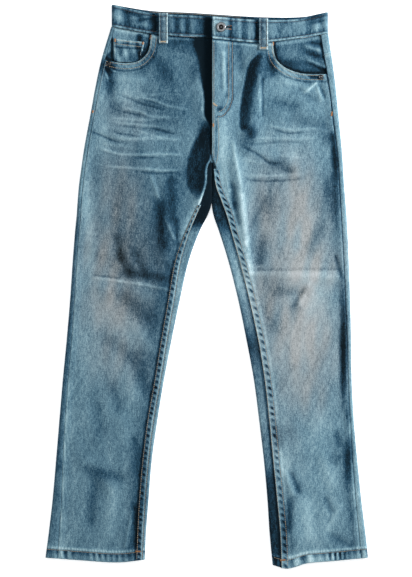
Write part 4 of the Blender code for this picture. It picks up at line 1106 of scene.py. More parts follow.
def pocket_outline(centre, u, v):
    """Places on a back pocket, which narrows downwards to a blunt point."""
    half = BACK_POCKET_WIDTH / 2
    x = blend(-half, half, u)
    point = BACK_POCKET_POINT * (1.0 - np.abs(x) / half)
    low = BACK_POCKET_TOP_Y - BACK_POCKET_DEPTH + BACK_POCKET_POINT - point
    return centre + x * (1.0 - 0.08 * v), blend(BACK_POCKET_TOP_Y, low, v)


def back_pocket_cloth(leg, centre):
    def place(u, v):
        x, y = pocket_outline(centre, u, v)
        from_edge = np.minimum(np.minimum(u, 1.0 - u) * 100.0, (1.0 - v) * 110.0)
        from_top = v * 115.0
        tug = np.sin((x + y) / 1.4 + 1.5 * ripple(x, y, 30.0, 91))
        z = DENIM / 2 + 0.12 * (1.0 + ripple(x, y, 40.0, 93))
        tone = (0.55 * bump(from_edge, 1.5) - 0.35 * bump(from_edge - 9.5, 1.6)
                + 0.6 * bump(from_top, 1.6) - 0.4 * bump(from_top - 15.0, 1.8)
                + 0.12 * tug * (bump(from_edge - 5.0, 4.0) + bump(from_top - 7.0, 7.0)))
        return x, y, z, *wash(x, y, tone + 0.15, BACK_PATCHES)

    return lay_out(f"back_pocket_{leg.name}_cloth", place, 60, 64)


def hem_ring(leg):
    """The turned-up cloth inside a leg's end: a flattened ring, closed all round."""
    shift, reach, side = STACK + SLACK, ROLL - 1.4, leg.side
    under_end, outer_end, upper_end, inner_end = 8.0, 13.0, 21.0, 26.0

    def place(u, v):
        turn = u * inner_end
        out_angle, in_angle = (math.pi * np.clip((turn - start) / 5.0, 0.0, 1.0)
                               for start in (under_end, upper_end))
        zones = [turn < under_end, turn < outer_end, turn < upper_end]
        y = np.full_like(u, HEM_Y)
        for _ in range(2):
            outer_foot = leg.outer_middle(y) - side * shift - side * reach
            inner_foot = leg.inner_middle(y) + side * shift + side * reach
            x = np.select(zones, [blend(inner_foot, outer_foot, turn / under_end),
                                  outer_foot + side * reach * np.sin(out_angle),
                                  blend(outer_foot, inner_foot, (turn - outer_end) / 8.0)],
                          inner_foot - side * reach * np.sin(in_angle))
            low = DENIM / 2 + shift
            high_out, high_in, high = (top_height(leg, at, y) - shift
                                       for at in (outer_foot, inner_foot, x))
            z = np.select(zones, [low + 0.0 * x, blend(low, high_out, turned(out_angle)), high],
                          blend(high_in, low, turned(in_angle)))
            y = leg.hem_at(x) + HEM_DEPTH * v + 0.5
        tone = -0.55 + 0.3 * bump(v * HEM_DEPTH, 1.5) + 0.1 * ripple(x, y, 12.0, 97)
        return x, y, z, tone, 0.25

    ring, flat = lay_out(f"hem_{leg.name}_cloth", place, 160, 8)
    with reshaping(ring.data) as bm:
        bmesh.ops.remove_doubles(bm, verts=bm.verts, dist=0.00002)
    return ring, flat


def band_cloth():
    """The waistband: from the buttonhole end round the left side, the back and the right side."""
    left_foot, right_foot = (end - way * (BAND / 2 + BAND_ROLL)
                             for end, way in zip(BAND_ENDS[::-1], (1, -1)))
    # where each part of the strip ends: left front, left turn, back, right turn, right front
    left_end, back_start, back_end, right_start, last = 14.0, 20.0, 40.0, 46.0, 61.0
    centre_up = 15.0

    def place(u, v):
        s, up = u * last, v * 31.0
        on_left = s < last / 2
        parts = [s <= left_end, s <= back_start, s <= back_end, s <= right_start]
        foot_x = np.select(parts, [blend(FLY_EDGE_X, left_foot, s / left_end), left_foot,
                                   blend(left_foot, right_foot, (s - back_start) / 20.0),
                                   right_foot],
                           blend(right_foot, UNDERLAP_X, (s - right_start) / 15.0))
        turn = np.select(parts, [0.0, math.pi * (s - left_end) / 6.0, math.pi,
                                 math.pi * (1.0 - (s - back_end) / 6.0)], 0.0)
        high = (BAND - DENIM) / 2 + np.where(
            on_left, top_height(LEFT, foot_x, LEFT.band_seam(foot_x)),
            top_height(RIGHT, foot_x, RIGHT.band_seam(foot_x)))
        x = foot_x + np.where(on_left, BAND_ROLL, -BAND_ROLL) * np.sin(turn)
        share = turned(turn)
        front, at_front, behind = share < 0.3, share < 0.5, share > 0.5
        seam_y = np.where(on_left, LEFT.band_seam(x), RIGHT.band_seam(x))
        y = blend(blend(seam_y, TOP_FRONT(x), v), blend(BACK_SEAM(x), TOP_BACK(x), v), share)
        low = BAND / 2 + np.where((s > back_start) & (s < back_end), under_rise(x, y),
                                  under_rise(foot_x, 390.0))
        z = (low + high) / 2 + (high - low) / 2 * np.cos(turn)
        height, tone = small_creases(x, y, BAND_CREASES)
        height, tone = height * front, tone * front
        for rib_x, rise, half_width, shade in BAND_RIBS:
            rib = bump(x - rib_x, half_width) * front
            height += rise * rib * bump(up - centre_up, 12.0)
            tone += shade * rib
        across = np.where(at_front, x, x + 400.0)
        tug = np.sin(2 * math.pi * across / 6.4 + 2.5 * ripple(across, 0 * y, 60.0, 101))
        slow = np.sin(2 * math.pi * across / 17.0 + 3.0 * ripple(across, 0 * y, 90.0, 103))
        slow = slow * bump(up - centre_up, 11.0)
        low_rope, top_rope = bump(up - 1.0, 1.5), bump(up - 30.2, 1.5)
        height += (0.35 * slow + 0.3 * bump(up - centre_up, 10.0) + 0.3 * (1 + tug) * low_rope
                   + 0.2 * (1 + tug) * top_rope - 0.35 * bump(up - 3.6, 0.9)
                   - 0.3 * bump(up - 27.6, 0.9))
        # the ropes are rubbed lighter; painted shade in the grooves beside the rows, under the
        # puckers, on the back band where it shows above the front and in the fold at the wearer's
        # left end; the front painted darker, the wearer's right most, as shade; painted shade round
        # the buttonhole's slot
        tone += (0.22 * slow + (0.45 + 0.2 * tug) * low_rope + (0.40 + 0.15 * tug) * top_rope
                 - 0.35 * bump(up - 4.2, 1.3) - 0.3 * bump(up - 26.8, 1.3)
                 - 0.45 * np.maximum(tug, 0.0) * bump(up - 6.5, 3.0)
                 - 1.1 * ease((y - TOP_FRONT(x)) / 1.2) * behind
                 - 0.9 * ease((up - 16.0) / 6.0) * bump(x - 164.0, 12.0) * at_front
                 + 0.5 * bump(s * 12.5, 1.6) + 0.4 * bump((last - s) * 11.0, 1.6)
                 - np.where(on_left, 0.12, 0.42) * at_front
                 - 1.3 * (s > right_start) * bump(y - BUTTON_AT[1], 2.5) * bump(x - 30.0, 8.0))
        z = z + height * np.cos(turn)
        z = np.where(behind, np.maximum(z, low), z)
        return x, y, z, *wash(x, y, tone, ((20, 396, 12, 10, 0, 0.25, 0.1),))

    length, width = BUTTONHOLE
    first = BUTTON_AT[0] + OVERALL_SHIFT[0] - 2 * SHANK_RADIUS
    middle = BUTTON_AT[1] + OVERALL_SHIFT[1]
    level = float(top_height(RIGHT, 20.0, 373.5)) + BAND

    def in_slot(at):
        return first < at.x < first + length and abs(at.y - middle) < width / 2 and at.z > level

    return lay_out("waistband_cloth", place, 520, 26, BAND, hole=in_slot)


def loop_cloth(name, centre, upper, lower, front):
    """A belt loop: a folded strip, pressed flat and sewn down at both ends."""
    leg = RIGHT if centre < CENTRE_X else LEFT
    proud = DENIM / 2 + LOOP / 2 + 2.4 * SEAM

    def place(u, v):
        across, along = (u - 0.5) * LOOP_WIDTH, v * (upper - lower)
        x, y = centre + across, blend(upper, lower, v)
        from_middle = np.abs(across)
        tug = np.sin(along / 1.1 + 1.5 * ripple(x, y, 25.0, 111))
        edge = bump(from_middle - 5.6, 1.3)
        ends = bump(np.minimum(along, upper - lower - along), 3.2)
        # rubbed edges and ends are lighter; a painted highlight on the right edge, painted shade
        # over the left part and in the grooves of the rows
        tone = ((0.35 + 0.2 * tug) * edge + 0.30 * ends + 0.70 * bump(across - 5.6, 1.0) - 0.08
                - 0.35 * bump(across + 2.5, 3.0) - 0.40 * bump(from_middle - 4.2, 0.8)
                + 0.20 * ripple(x, y, 9.0, 113))
        if not front:
            return x, y, LOOP / 2 + 0.0 * x, tone + 0.1, 0.15
        over_band = ease((y - leg.band_seam(centre) + 5.0) / 4.0)
        z = (top_height(leg, x, blend(y, leg.band_seam(x), over_band)) + proud
             + over_band * (BAND - DENIM + 0.8) + 0.3 * edge * (1.0 + 0.6 * tug)
             - 0.3 * bump(from_middle - 4.0, 0.7) + 0.5 * ends + 0.5 * bump(along - 18.0, 12.0))
        return x, y, z, tone, 0.15

    return lay_out(f"belt_loop_{name}_cloth", place, 14, 44, LOOP)


def shield_cloth():
    """The underlap behind the closed fly."""
    def place(u, v):
        x, y = blend(2.0, 40.0, u), blend(366.0, 238.0, v)
        z = TOP_LAYER - STACK + 0.15 * ripple(x, y, 40.0, 121)
        return x, y, z, -0.5 + 0.1 * ripple(x, y, 20.0, 123), 0.0

    return lay_out("fly_shield_cloth", place, 18, 60)


def strip_half(leg, y):
    """Half the width of the strip between an inseam's two stitched rows."""
    if leg.side > 0:
        return blend(4.0, 5.0, ease((170.0 - y) / 60.0))
    return blend(2.4, 4.9, ease((130.0 - y) / 120.0))


def seam_strip(leg):
    """The raised strip between the two stitched rows of an inseam, twisted by washing."""
    left = leg.side > 0
    start = CROTCH_Y - 5.0 if left else 122.0
    # place across the strip, from -1 to 1, of its bright edge: the wash's rubbing and a painted
    # highlight
    bright = -0.75 if left else 0.55

    def place(u, v):
        y = blend(start, float(leg.hem_at(leg.inseam(HEM_Y))) + 0.6, v)
        half = strip_half(leg, y)
        across = (u - 0.5) * 2.0
        x = leg.inseam(y) + across * half
        z, tone = front_surface(leg, x, y)
        high = ease((y + 60.0) / 120.0)
        pitch, slant, depth = (10.8, blend(0.6, 1.2, high), 1.25 + 0.6 * high) if left else (
            8.4, 0.45, 1.25)
        twist = np.sin(2 * math.pi * (y + slant * across * half) / pitch
                       + 2.2 * ripple(x * 0, y, 60.0, 131))
        middle = bump(across, 0.72)
        marks = np.clip(0.2 + 1.3 * twist, 0.0, 1.0) * (0.75 + 0.35 * ripple(x * 0, y, 25.0, 133))
        z = z + DENIM / 2 + 0.35 + 0.5 * middle * (1.0 + 0.75 * twist)
        # the twist's dark marks are the wash's darker twists and painted shade; a painted shadow
        # along the strip's left edge and a darker line along its right
        tone = (tone - depth * marks * bump(across + 0.3 * bright, 0.42)
                + 0.85 * bump(across - bright, 0.17) + 0.15 * (1.0 - marks) * middle
                - 0.55 * bump(across + 0.85, 0.16) - 0.35 * bump(across - 0.95, 0.12))
        return x, y, z, *wash(x, y, tone, FRONT_PATCHES)

    return lay_out(f"inseam_strip_{leg.name}", place, 9, 470, FELL)


def offset_path(path, away):
    """A path moved sideways, to its right where away is positive."""
    path = np.array(path, float)[:, :2]
    ahead = np.gradient(path, axis=0)
    ahead /= np.linalg.norm(ahead, axis=1, keepdims=True)
    return path + away * np.stack((ahead[:, 1], -ahead[:, 0]), axis=1)


def pairs(x, y):
    """Places from their x and their y, one to a row."""
    return np.stack(np.broadcast_arrays(x, y), axis=1)


def straight(x0, y0, x1, y1):
    share = np.linspace(0.0, 1.0, 24)
    return pairs(blend(x0, x1, share), blend(y0, y1, share))


def hem_row(leg, inset):
    """The row above a hem, from one side fold to the other."""
    x = np.linspace(float(leg.outer(HEM_Y)) - leg.side * inset,
                    float(leg.inner(HEM_Y)) + leg.side * inset, 240)
    return pairs(x, leg.hem_at(x) + HEM_ROW)


def loop_rows(loops, kind):
    """The two rows along each belt loop."""
    return [(straight(centre + across, upper - 1.5, centre + across, lower + 1.5), 2.8, kind)
            for _, centre, upper, lower in loops for across in (-4.2, 4.2)]


def front_rows():
    """Stitched rows seen from the front: path, pitch, thread."""
    rows = []

    def sew(path, kind="tan", pitch=3.0):
        rows.append((path, pitch, kind))

    for leg in LEGS:
        left = leg.side > 0
        y = np.linspace(CROTCH_Y - 6.0 if left else 121.0,
                        float(leg.hem_at(leg.inseam(HEM_Y))) + 1.0, 300)
        for edge, seen in ((-1.0, y[y < 160.0]), (1.0, y)):
            sew(pairs(leg.inseam(seen) + edge * (strip_half(leg, seen) - 0.7), seen), pitch=3.4)
        for away in (1.9, 8.2):
            sew(offset_path(leg.mouth_path, -leg.side * away)[3:-3])
        y = np.linspace(314.0 if left else 336.0, 259.0, 260)
        sew(pairs(leg.outseam(y) - leg.side * 2.0, y), "blue")
        sew(hem_row(leg, 1.5))
    edge_x = FLY_EDGE_X + EDGE_ROW
    sew(path_of(FLY_ROW_INNER, 120))
    sew(path_of(FLY_ROW_OUTER, 120))
    sew(straight(edge_x, 366.0, edge_x, 190.0))
    sew(path_of(CROTCH_ROW, 60))
    outer, inner, low_inner, low_outer = COIN_POCKET
    for down in (1.8, 7.5):
        sew(straight(outer[0] + 1.5, outer[1] - down, inner[0] - 1.5, inner[1] - down), pitch=2.8)
    for high, low, inset in ((outer, low_outer, 1.8), (inner, low_inner, -1.8)):
        sew(straight(high[0] + inset, high[1] - 1, low[0] + inset, low[1] + 1), "blue", 2.8)
    for first, last, seam in ((-138.0, -4.0, RIGHT.band_seam), (11.0, 176.0, LEFT.band_seam)):
        x = np.linspace(first, last, 160)
        for share in (0.11, 0.89):
            sew(pairs(x, blend(seam(x), TOP_FRONT(x), share)), "brown")
    x = np.linspace(-86.0, 52.0, 120)
    sew(pairs(x, TOP_BACK(x) - 1.7))
    sew(straight(edge_x, 374.5, edge_x, 400.0), "brown")
    return rows + loop_rows(FRONT_LOOPS, "brown")


def back_rows():
    """Stitched rows seen from behind."""
    rows = []

    def sew(path, kind="tan"):
        rows.append((path, 3.0, kind))

    for leg, centre in zip(LEGS, BACK_POCKET_X):
        x = np.linspace(float(leg.outer(340.0)) - leg.side * 4.0, CENTRE_X + leg.side * 1.0, 160)
        for down in (1.6, 7.6):
            sew(pairs(x, yoke_line(leg, x) - down))
        for inset in (0.022, 0.085):
            far = 1.0 - inset
            down_edge = np.linspace(0.01, far, 40)
            for u, v in ((inset, down_edge), (np.linspace(inset, far, 60), far),
                         (far, down_edge[::-1])):
                sew(pairs(*pocket_outline(centre, *np.broadcast_arrays(u, v))))
        for down in (0.018, 0.125):
            sew(pairs(*pocket_outline(centre, np.linspace(0.02, 0.98, 60), down)))
        sew(hem_row(leg, 4.0), "brown")
    for shift in (2.0, 8.0):
        sew(straight(CENTRE_X + shift, 366.0, CENTRE_X + shift, 205.0))
    x = np.linspace(-134.0, 174.0, 300)
    for share in (0.09, 0.91):
        sew(pairs(x, blend(BACK_SEAM(x), TOP_BACK(x), share)), "blue")
    return rows + loop_rows(BACK_LOOPS, "tan")


def cloth_trees(pieces):
    """The finished surfaces of some pieces, to lay stitches on."""
    depsgraph = bpy.context.evaluated_depsgraph_get()
    return [BVHTree.FromObject(piece, depsgraph) for piece in pieces]


def land(trees, x, y, above):
    """Where a needle at x, y first meets the cloth, coming from above or from below."""
    start = Vector(((x + OVERALL_SHIFT[0]) * MM, (y + OVERALL_SHIFT[1]) * MM,
                    (NEEDLE_ABOVE if above else NEEDLE_BELOW) * MM))
    way = Vector((0.0, 0.0, -1.0 if above else 1.0))
    hits = [(distance, place) for place, _, _, distance in
            (tree.ray_cast(start, way) for tree in trees) if place is not None]
    return np.array(min(hits, key=lambda hit: hit[0])[1]) / MM if hits else None


def stitch(trees, spots, above, steepest=math.inf):
    """One stitch between two spots, in a list: none where it misses the cloth or is too steep."""
    first, last = (land(trees, *spot, above) for spot in spots)
    if first is None or last is None or abs(first[2] - last[2]) >= steepest:
        return []
    return [(first, last)]


def stitches_along(trees, path, pitch, above):
    """The stitches of one row."""
    gaps = np.linalg.norm(np.diff(path, axis=0), axis=1)
    far = np.concatenate(([0.0], np.cumsum(gaps)))
    half, steepest = 0.36 * pitch, 0.9 * pitch
    made = []
    for at in (np.arange(int(far[-1] / pitch)) + 0.5) * pitch:
        spots = [[np.interp(at + reach, far, path[:, k]) for k in (0, 1)]
                 for reach in (-half, half)]
        made += stitch(trees, spots, above, steepest)
    return made


def tack_stitches(trees, tacks, above):
    """Close zigzag stitches of bar tacks."""
    pitch, half, zigzag = 0.55, 1.25, 0.12
    made = []
    for x, y, length, turn in tacks:
        lean = math.radians(turn)
        ahead = np.array((math.cos(lean), math.sin(lean)))
        side = np.array((-ahead[1], ahead[0]))
        for i in range(int(length / pitch)):
            middle = np.array((x, y)) + ahead * (i * pitch - length / 2)
            slant = zigzag if i % 2 else -zigzag
            made += stitch(trees, [middle + side * reach + ahead * reach * slant
                                   for reach in (-half, half)], above)
    return made


def buttonhole_stitches(trees):
    """The thread worked round the slot, but for what the button hides."""
    hidden, count, reach = 5.0, 9, 2.0
    first = BUTTON_AT[0] - SHANK_RADIUS + hidden
    length, half = BUTTONHOLE[0] - 1.5 - hidden, BUTTONHOLE[1] / 2
    made = []
    for i in range(count):
        x = first + length * i / (count - 1)
        for side in (-1, 1) if i % 3 else (-1,):
            made += stitch(trees, [(x, BUTTON_AT[1] + side * (half + out))
                                   for out in (0.3, reach)], True)
    return made


def thread_piece(name, stitches, thickness, above):
    """One mesh of many short rounded stitches, each a small stretched ball."""
    ball_mesh = bmesh.new()
    bmesh.ops.create_icosphere(ball_mesh, subdivisions=1, radius=0.5)
    ball = np.array([vert.co[:] for vert in ball_mesh.verts])
    faces = np.array([[vert.index for vert in face.verts] for face in ball_mesh.faces])
    ball_mesh.free()
    first, last = (np.array(ends) for ends in zip(*stitches))
    length = np.linalg.norm(last - first, axis=1, keepdims=True)
    ahead = (last - first) / length
    side = np.cross(np.array((0.0, 0.0, 1.0 if above else -1.0)), ahead)
    side /= np.linalg.norm(side, axis=1, keepdims=True)
    rise = np.cross(ahead, side)
    places = ((first + last) / 2 + rise * thickness * 0.12)[:, None, :]
    for k, way in enumerate((ahead * (length + thickness), side * thickness, rise * thickness)):
        places = places + ball[None, :, k:k + 1] * way[:, None, :]
    shifts = (np.arange(len(stitches)) * len(ball))[:, None, None]
    mesh = bpy.data.meshes.new(name)
    mesh.from_pydata((places.reshape(-1, 3) * MM).tolist(), [],
                     (faces[None] + shifts).reshape(-1, 3).tolist())
    with reshaping(mesh) as bm:
        bmesh.ops.recalc_face_normals(bm, faces=bm.faces)
    return new_piece(name, mesh)


def turned_metal(name, profile, at, sides):
    """A turned metal piece: a profile (radius, height, tarnish) spun round its axis."""
    centre = ((at[0] + OVERALL_SHIFT[0]) * MM, (at[1] + OVERALL_SHIFT[1]) * MM, at[2] * MM)
    bm = bmesh.new()
    ring = [bm.verts.new((centre[0] + radius * MM, centre[1], centre[2] + height * MM))
            for radius, height, _ in profile]
    edges = [bm.edges.new(pair) for pair in zip(ring, ring[1:])]
    bmesh.ops.spin(bm, geom=ring + edges, cent=centre, axis=(0, 0, 1), angle=2 * math.pi,
                   steps=sides, use_merge=True, dvec=(0, 0, 0))
    bmesh.ops.remove_doubles(bm, verts=bm.verts, dist=0.000005)
    bmesh.ops.recalc_face_normals(bm, faces=bm.faces)
    # the operators leave the faces in another order each run
    bm.verts.index_update()
    bm.faces.sort(key=lambda face: sum(vert.index for vert in face.verts)
                  + max(vert.index for vert in face.verts) / len(bm.verts))
    mesh = mesh_from(bm, name)
    away = (places_in(mesh) - centre) / MM
    gaps = [np.hypot(np.hypot(away[:, 0], away[:, 1]) - radius, away[:, 2] - height)
            for radius, height, _ in profile]
    store(mesh, "tone", np.array([row[2] for row in profile])[np.argmin(gaps, axis=0)])
    return new_piece(name, mesh)


def button_piece():
    """A shank button with a plain dished face."""
    x, y = BUTTON_AT
    under, over = (float(top_height(leg, x, leg.band_seam(x))) + BAND - DENIM / 2 + SEAM
                   for leg in LEGS)
    lift = over + 0.5 - under
    profile = [(radius, lift + height, tarnish) for radius, height, tarnish in BUTTON_PROFILE]
    profile += [(SHANK_RADIUS, 0.0, 0.9), (0.0, 0.0, 0.9)]
    return turned_metal("button_metal", profile, (x, y, under), 56)


def rivet_piece(name, x, y):
    leg = RIGHT if x < CENTRE_X else LEFT
    dull = 0.9 if leg is RIGHT else 0.3
    base = float(top_height(leg, x, y)) + DENIM / 2 + 2 * SEAM
    profile = [(radius, height, dull if tarnish is None else tarnish)
               for radius, height, tarnish in RIVET_PROFILE]
    return turned_metal(f"{name}_metal", profile, (x, y, base), 32)


def srgb(code):
    """A colour of a surface, from its sRGB hex value, as Blender's linear values."""
    parts = [int(code[i:i + 2], 16) / 255 for i in (1, 3, 5)]
    return tuple(p / 12.92 if p <= 0.04045 else ((p + 0.055) / 1.055) ** 2.4 for p in parts)


def new_material(name, roughness, metallic=0.0):
    """A material with its tree, its shader and the piece's own coordinates."""
    made = bpy.data.materials.new(name)
    made.use_nodes = True
    tree = made.node_tree
    shader = tree.nodes["Principled BSDF"]
    shader.inputs["Roughness"].default_value = roughness
    shader.inputs["Metallic"].default_value = metallic
    return made, tree, shader, node(tree, "ShaderNodeTexCoord").outputs["Object"]


def node(tree, kind, settings=(), **links):
    """Adds a node, with its settings, and its inputs by name, as values or as other sockets."""
    made = tree.nodes.new(kind)
    for name, value in dict(settings).items():
        setattr(made, name, value)
    for name, value in links.items():
        key = int(name[1:]) if name[1:].isdigit() else name.replace("_", " ")
        if isinstance(value, bpy.types.NodeSocket):
            tree.links.new(value, made.inputs[key])
        else:
            made.inputs[key].default_value = value
    return made


def plug(tree, shader, **made):
    """Links the first output of nodes to the shader's inputs."""
    for name, source in made.items():
        tree.links.new(source.outputs[0], shader.inputs[name.replace("_", " ")])


def set_ramp(ramp, *stops):
    elements = ramp.color_ramp.elements
    while len(elements) > 1:
        elements.remove(elements[-1])
    elements[0].position, elements[0].color = stops[0][0], (*stops[0][1], 1.0)
    for place, colour in stops[1:]:
        elements.new(place).color = (*colour, 1.0)
    return ramp


def sum_of(tree, *parts):
    """Adds up sockets, each times its weight."""
    total = 0.0
    for socket, weight in parts:
        total = node(tree, "ShaderNodeMath", {"operation": "MULTIPLY_ADD"}, _0=socket, _1=weight,
                     _2=total).outputs[0]
    return total


def per_mm(size):
    """Scale of a pattern whose grain is a size in millimetres."""
    return 1 / (size * MM)


def denim_material(settings):
    """Washed indigo denim, woven: warp dyed blue over white weft, so the rubbed crests pale and
    the troughs stay dark, with a fine upright slub from uneven yarn. The tone it reads also holds
    painted shade, painted shadows and painted highlights."""
    made, tree, shader, place = new_material("Washed indigo denim, woven", 0.9)
    upright = node(tree, "ShaderNodeMapping", _0=place, Scale=(1.0, 0.30, 1.0)).outputs[0]
    tone, grey = (node(tree, "ShaderNodeAttribute", {"attribute_name": name}).outputs["Fac"]
                  for name in ("tone", "grey"))
    # yarn is 0.45 mm across, finer than can show, so the slub is drawn at 1.7 mm by 5 mm
    slub, speck, cloud = (
        node(tree, "ShaderNodeTexNoise", _0=way, Scale=per_mm(size), Detail=detail,
             Roughness=roughness).outputs[0]
        for way, size, detail, roughness in (
            (upright, 1.7, 2.0, 0.6), (place, 1.3, 2.0, 0.7), (upright, 14.0, 3.0, 0.6)))
    # twill lines rise to the right, drawn at 1.5 mm where the real ones are 0.9 mm apart
    lean = node(tree, "ShaderNodeMapping", _0=place, Rotation=(0.0, 0.0, math.radians(27.0)))
    twill = node(tree, "ShaderNodeTexWave", {"bands_direction": "X"}, _0=lean.outputs[0],
                 Scale=TWILL_SCALE, Distortion=0.6, Detail=1.0).outputs[1]
    # tone holds the wash and the painted light and shade
    level = sum_of(tree, (tone, 0.42), (slub, 0.42), (speck, 0.66), (cloud, 0.20), (twill, 0.02))
    level = node(tree, "ShaderNodeMath", {"operation": "ADD"}, _0=level, _1=-0.195).outputs[0]
    blue, rubbed = (
        set_ramp(node(tree, "ShaderNodeValToRGB", _0=level),
                 *zip((0.0, 0.25, 0.5, 0.75, 1.0), hues))
        for hues in ((settings.darkest, settings.dark, settings.middle, settings.light,
                      settings.lightest),
                     (srgb("#0E171B"), srgb("#46535A"), settings.grey, srgb("#A9AFB2"),
                      srgb("#CAD1D5"))))
    patchy = sum_of(tree, (grey, 1.20), (cloud, 0.14))
    patchy = node(tree, "ShaderNodeMath", {"operation": "ADD", "use_clamp": True}, _0=patchy,
                  _1=-0.07).outputs[0]
    colour = node(tree, "ShaderNodeMix", {"data_type": "RGBA"}, _0=patchy,
                  _6=blue.outputs[0], _7=rubbed.outputs[0])
    tree.links.new(colour.outputs[2], shader.inputs["Base Color"])
    rough = node(tree, "ShaderNodeMapRange", _0=slub, _3=0.82, _4=0.97)
    relief = sum_of(tree, (slub, 0.7), (speck, 0.4), (twill, 0.10))
    plug(tree, shader, Roughness=rough,
         Normal=node(tree, "ShaderNodeBump", Height=relief, Distance=0.0006, Strength=0.55))
    shader.inputs["Sheen Weight"].default_value = 0.04
    shader.inputs["Sheen Roughness"].default_value = 0.5
    shader.inputs["Specular IOR Level"].default_value = 0.08
    return made


def thread_material(name, colour, dark):
    """Core-spun sewing thread, twisted: a soft sheen, with uneven dye along its length."""
    made, tree, shader, place = new_material(name, 0.6)
    # plies are 0.15 mm apart, drawn at 1 mm, and the dye changes over 12 mm
    ply, faded = (node(tree, "ShaderNodeTexNoise", _0=place, Scale=per_mm(size),
                       Detail=2.0).outputs[0] for size in (1.0, 12.0))
    level = sum_of(tree, (ply, 0.6), (faded, 0.5))
    tint = set_ramp(node(tree, "ShaderNodeValToRGB", _0=level), (0.3, dark), (0.7, colour))
    plug(tree, shader, Base_Color=tint,
         Normal=node(tree, "ShaderNodeBump", Height=ply, Distance=0.0002, Strength=0.4))
    shader.inputs["Sheen Weight"].default_value = 0.2
    return made


def metal_material(settings):
    """Aged nickel plating on pressed brass: bright worn rims, dark tarnish down in the recess."""
    made, tree, shader, place = new_material("Aged nickel plating, pressed", 0.3, metallic=1.0)
    tarnish = node(tree, "ShaderNodeAttribute", {"attribute_name": "tone"}).outputs["Fac"]
    # stains are 1 to 2 mm across, scratches half a millimetre apart
    stain = node(tree, "ShaderNodeTexNoise", _0=place, Scale=per_mm(1.6), Detail=4.0)
    level = sum_of(tree, (tarnish, 0.8), (stain.outputs[0], 0.45))
    level = node(tree, "ShaderNodeMath", {"operation": "ADD", "use_clamp": True}, _0=level,
                 _1=-0.18).outputs[0]
    tint = set_ramp(node(tree, "ShaderNodeValToRGB", _0=level), (0.0, settings.bright),
                    (0.4, settings.worn), (0.85, settings.tarnish))
    rough = node(tree, "ShaderNodeMapRange", _0=level, _3=0.22, _4=0.6)
    scratches = node(tree, "ShaderNodeTexNoise", _0=place, Scale=per_mm(0.5), Detail=2.0)
    plug(tree, shader, Base_Color=tint, Roughness=rough,
         Normal=node(tree, "ShaderNodeBump", Height=scratches.outputs[0], Distance=0.0001,
                     Strength=0.25))
    return made


def tape_material():
    """Polyester zip tape, woven: a dull navy with a fine herringbone."""
    made, tree, shader, place = new_material("Polyester zip tape, woven", 0.8)
    # ribs are 1.2 mm apart
    ribs = node(tree, "ShaderNodeTexWave", {"bands_direction": "DIAGONAL"}, _0=place,
                Scale=per_mm(1.2) / WAVES_PER_UNIT, Distortion=1.0).outputs[1]
    tint = set_ramp(node(tree, "ShaderNodeValToRGB", _0=ribs), (0.2, srgb("#10202C")),
                    (0.8, srgb("#223A4C")))
    plug(tree, shader, Base_Color=tint,
         Normal=node(tree, "ShaderNodeBump", Height=ribs, Distance=0.0003, Strength=0.4))
    return made


def floor_material(settings):
    """Opal acrylic of a light table, cast: an even white glow that swallows shadows."""
    made, tree, shader, place = new_material("Opal acrylic, cast and lit from below", 0.9)
    # cloudiness is about 40 mm across
    cloudy = node(tree, "ShaderNodeTexNoise", _0=place, Scale=per_mm(40.0), Detail=2.0)
    paler = tuple(min(1.0, part * 1.03) for part in settings.floor)
    plug(tree, shader, Base_Color=set_ramp(
        node(tree, "ShaderNodeValToRGB", _0=cloudy.outputs[0]), (0.3, settings.floor),
        (0.7, paler)))
    shader.inputs["Emission Color"].default_value = (1.0, 1.0, 1.0, 1.0)
    shader.inputs["Emission Strength"].default_value = settings.glow
    shader.inputs["Specular IOR Level"].default_value = 0.1
    return made


def colour_choice(name, description, code):
    return FloatVectorProperty(name=name, description=description, default=srgb(code),
                               subtype="COLOR", size=3, min=0.0, max=1.0)


def power_choice(name, description, watts):
    return FloatProperty(name=name, description=description, default=watts, unit="POWER",
                         min=0.0, max=500.0)


class JeansDenim(bpy.types.PropertyGroup):
    # the darkest and dark colours also show painted shadows and shade, the light ones painted
    # highlights
    darkest: colour_choice("Darkest indigo", "Cloth down in the deepest folds", "#03131C")
    dark: colour_choice("Dark indigo", "Cloth that the wash has hardly rubbed", "#22455B")
    middle: colour_choice("Middle blue", "Most of the cloth", "#5F8191")
    light: colour_choice("Light blue", "Rubbed crests and edges", "#95B5BF")
    lightest: colour_choice("Lightest blue", "The most rubbed edges", "#CDE5EC")
    grey: colour_choice("Rubbed grey", "Thighs and knees rubbed down to the weft", "#8C9294")
    wall: FloatProperty(name="Cloth thickness", description="Thickness of one layer of denim",
                        default=DENIM * MM, unit="LENGTH", min=0.0005, max=0.002)


class JeansThread(bpy.types.PropertyGroup):
    tan: colour_choice("Tan thread", "Topstitching of the fly, pockets, seams and hems",
                       "#B5A489")
    orange: colour_choice("Orange thread", "Bar tacks and the buttonhole", "#B0763E")
    blue: colour_choice("Blue thread", "Outseams and the waistband behind", "#8EA9B5")
    brown: colour_choice("Brown thread", "Waistband in front and hems behind", "#3E2F26")
    thickness: FloatProperty(name="Thread thickness", description="Across one stitch",
                             default=0.0008, unit="LENGTH", min=0.0003, max=0.0015)


class JeansMetal(bpy.types.PropertyGroup):
    bright: colour_choice("Bright nickel", "Rims worn bright", "#A9ACAE")
    worn: colour_choice("Worn nickel", "Most of the metal", "#686C70")
    tarnish: colour_choice("Tarnish", "Recesses", "#1D1B19")


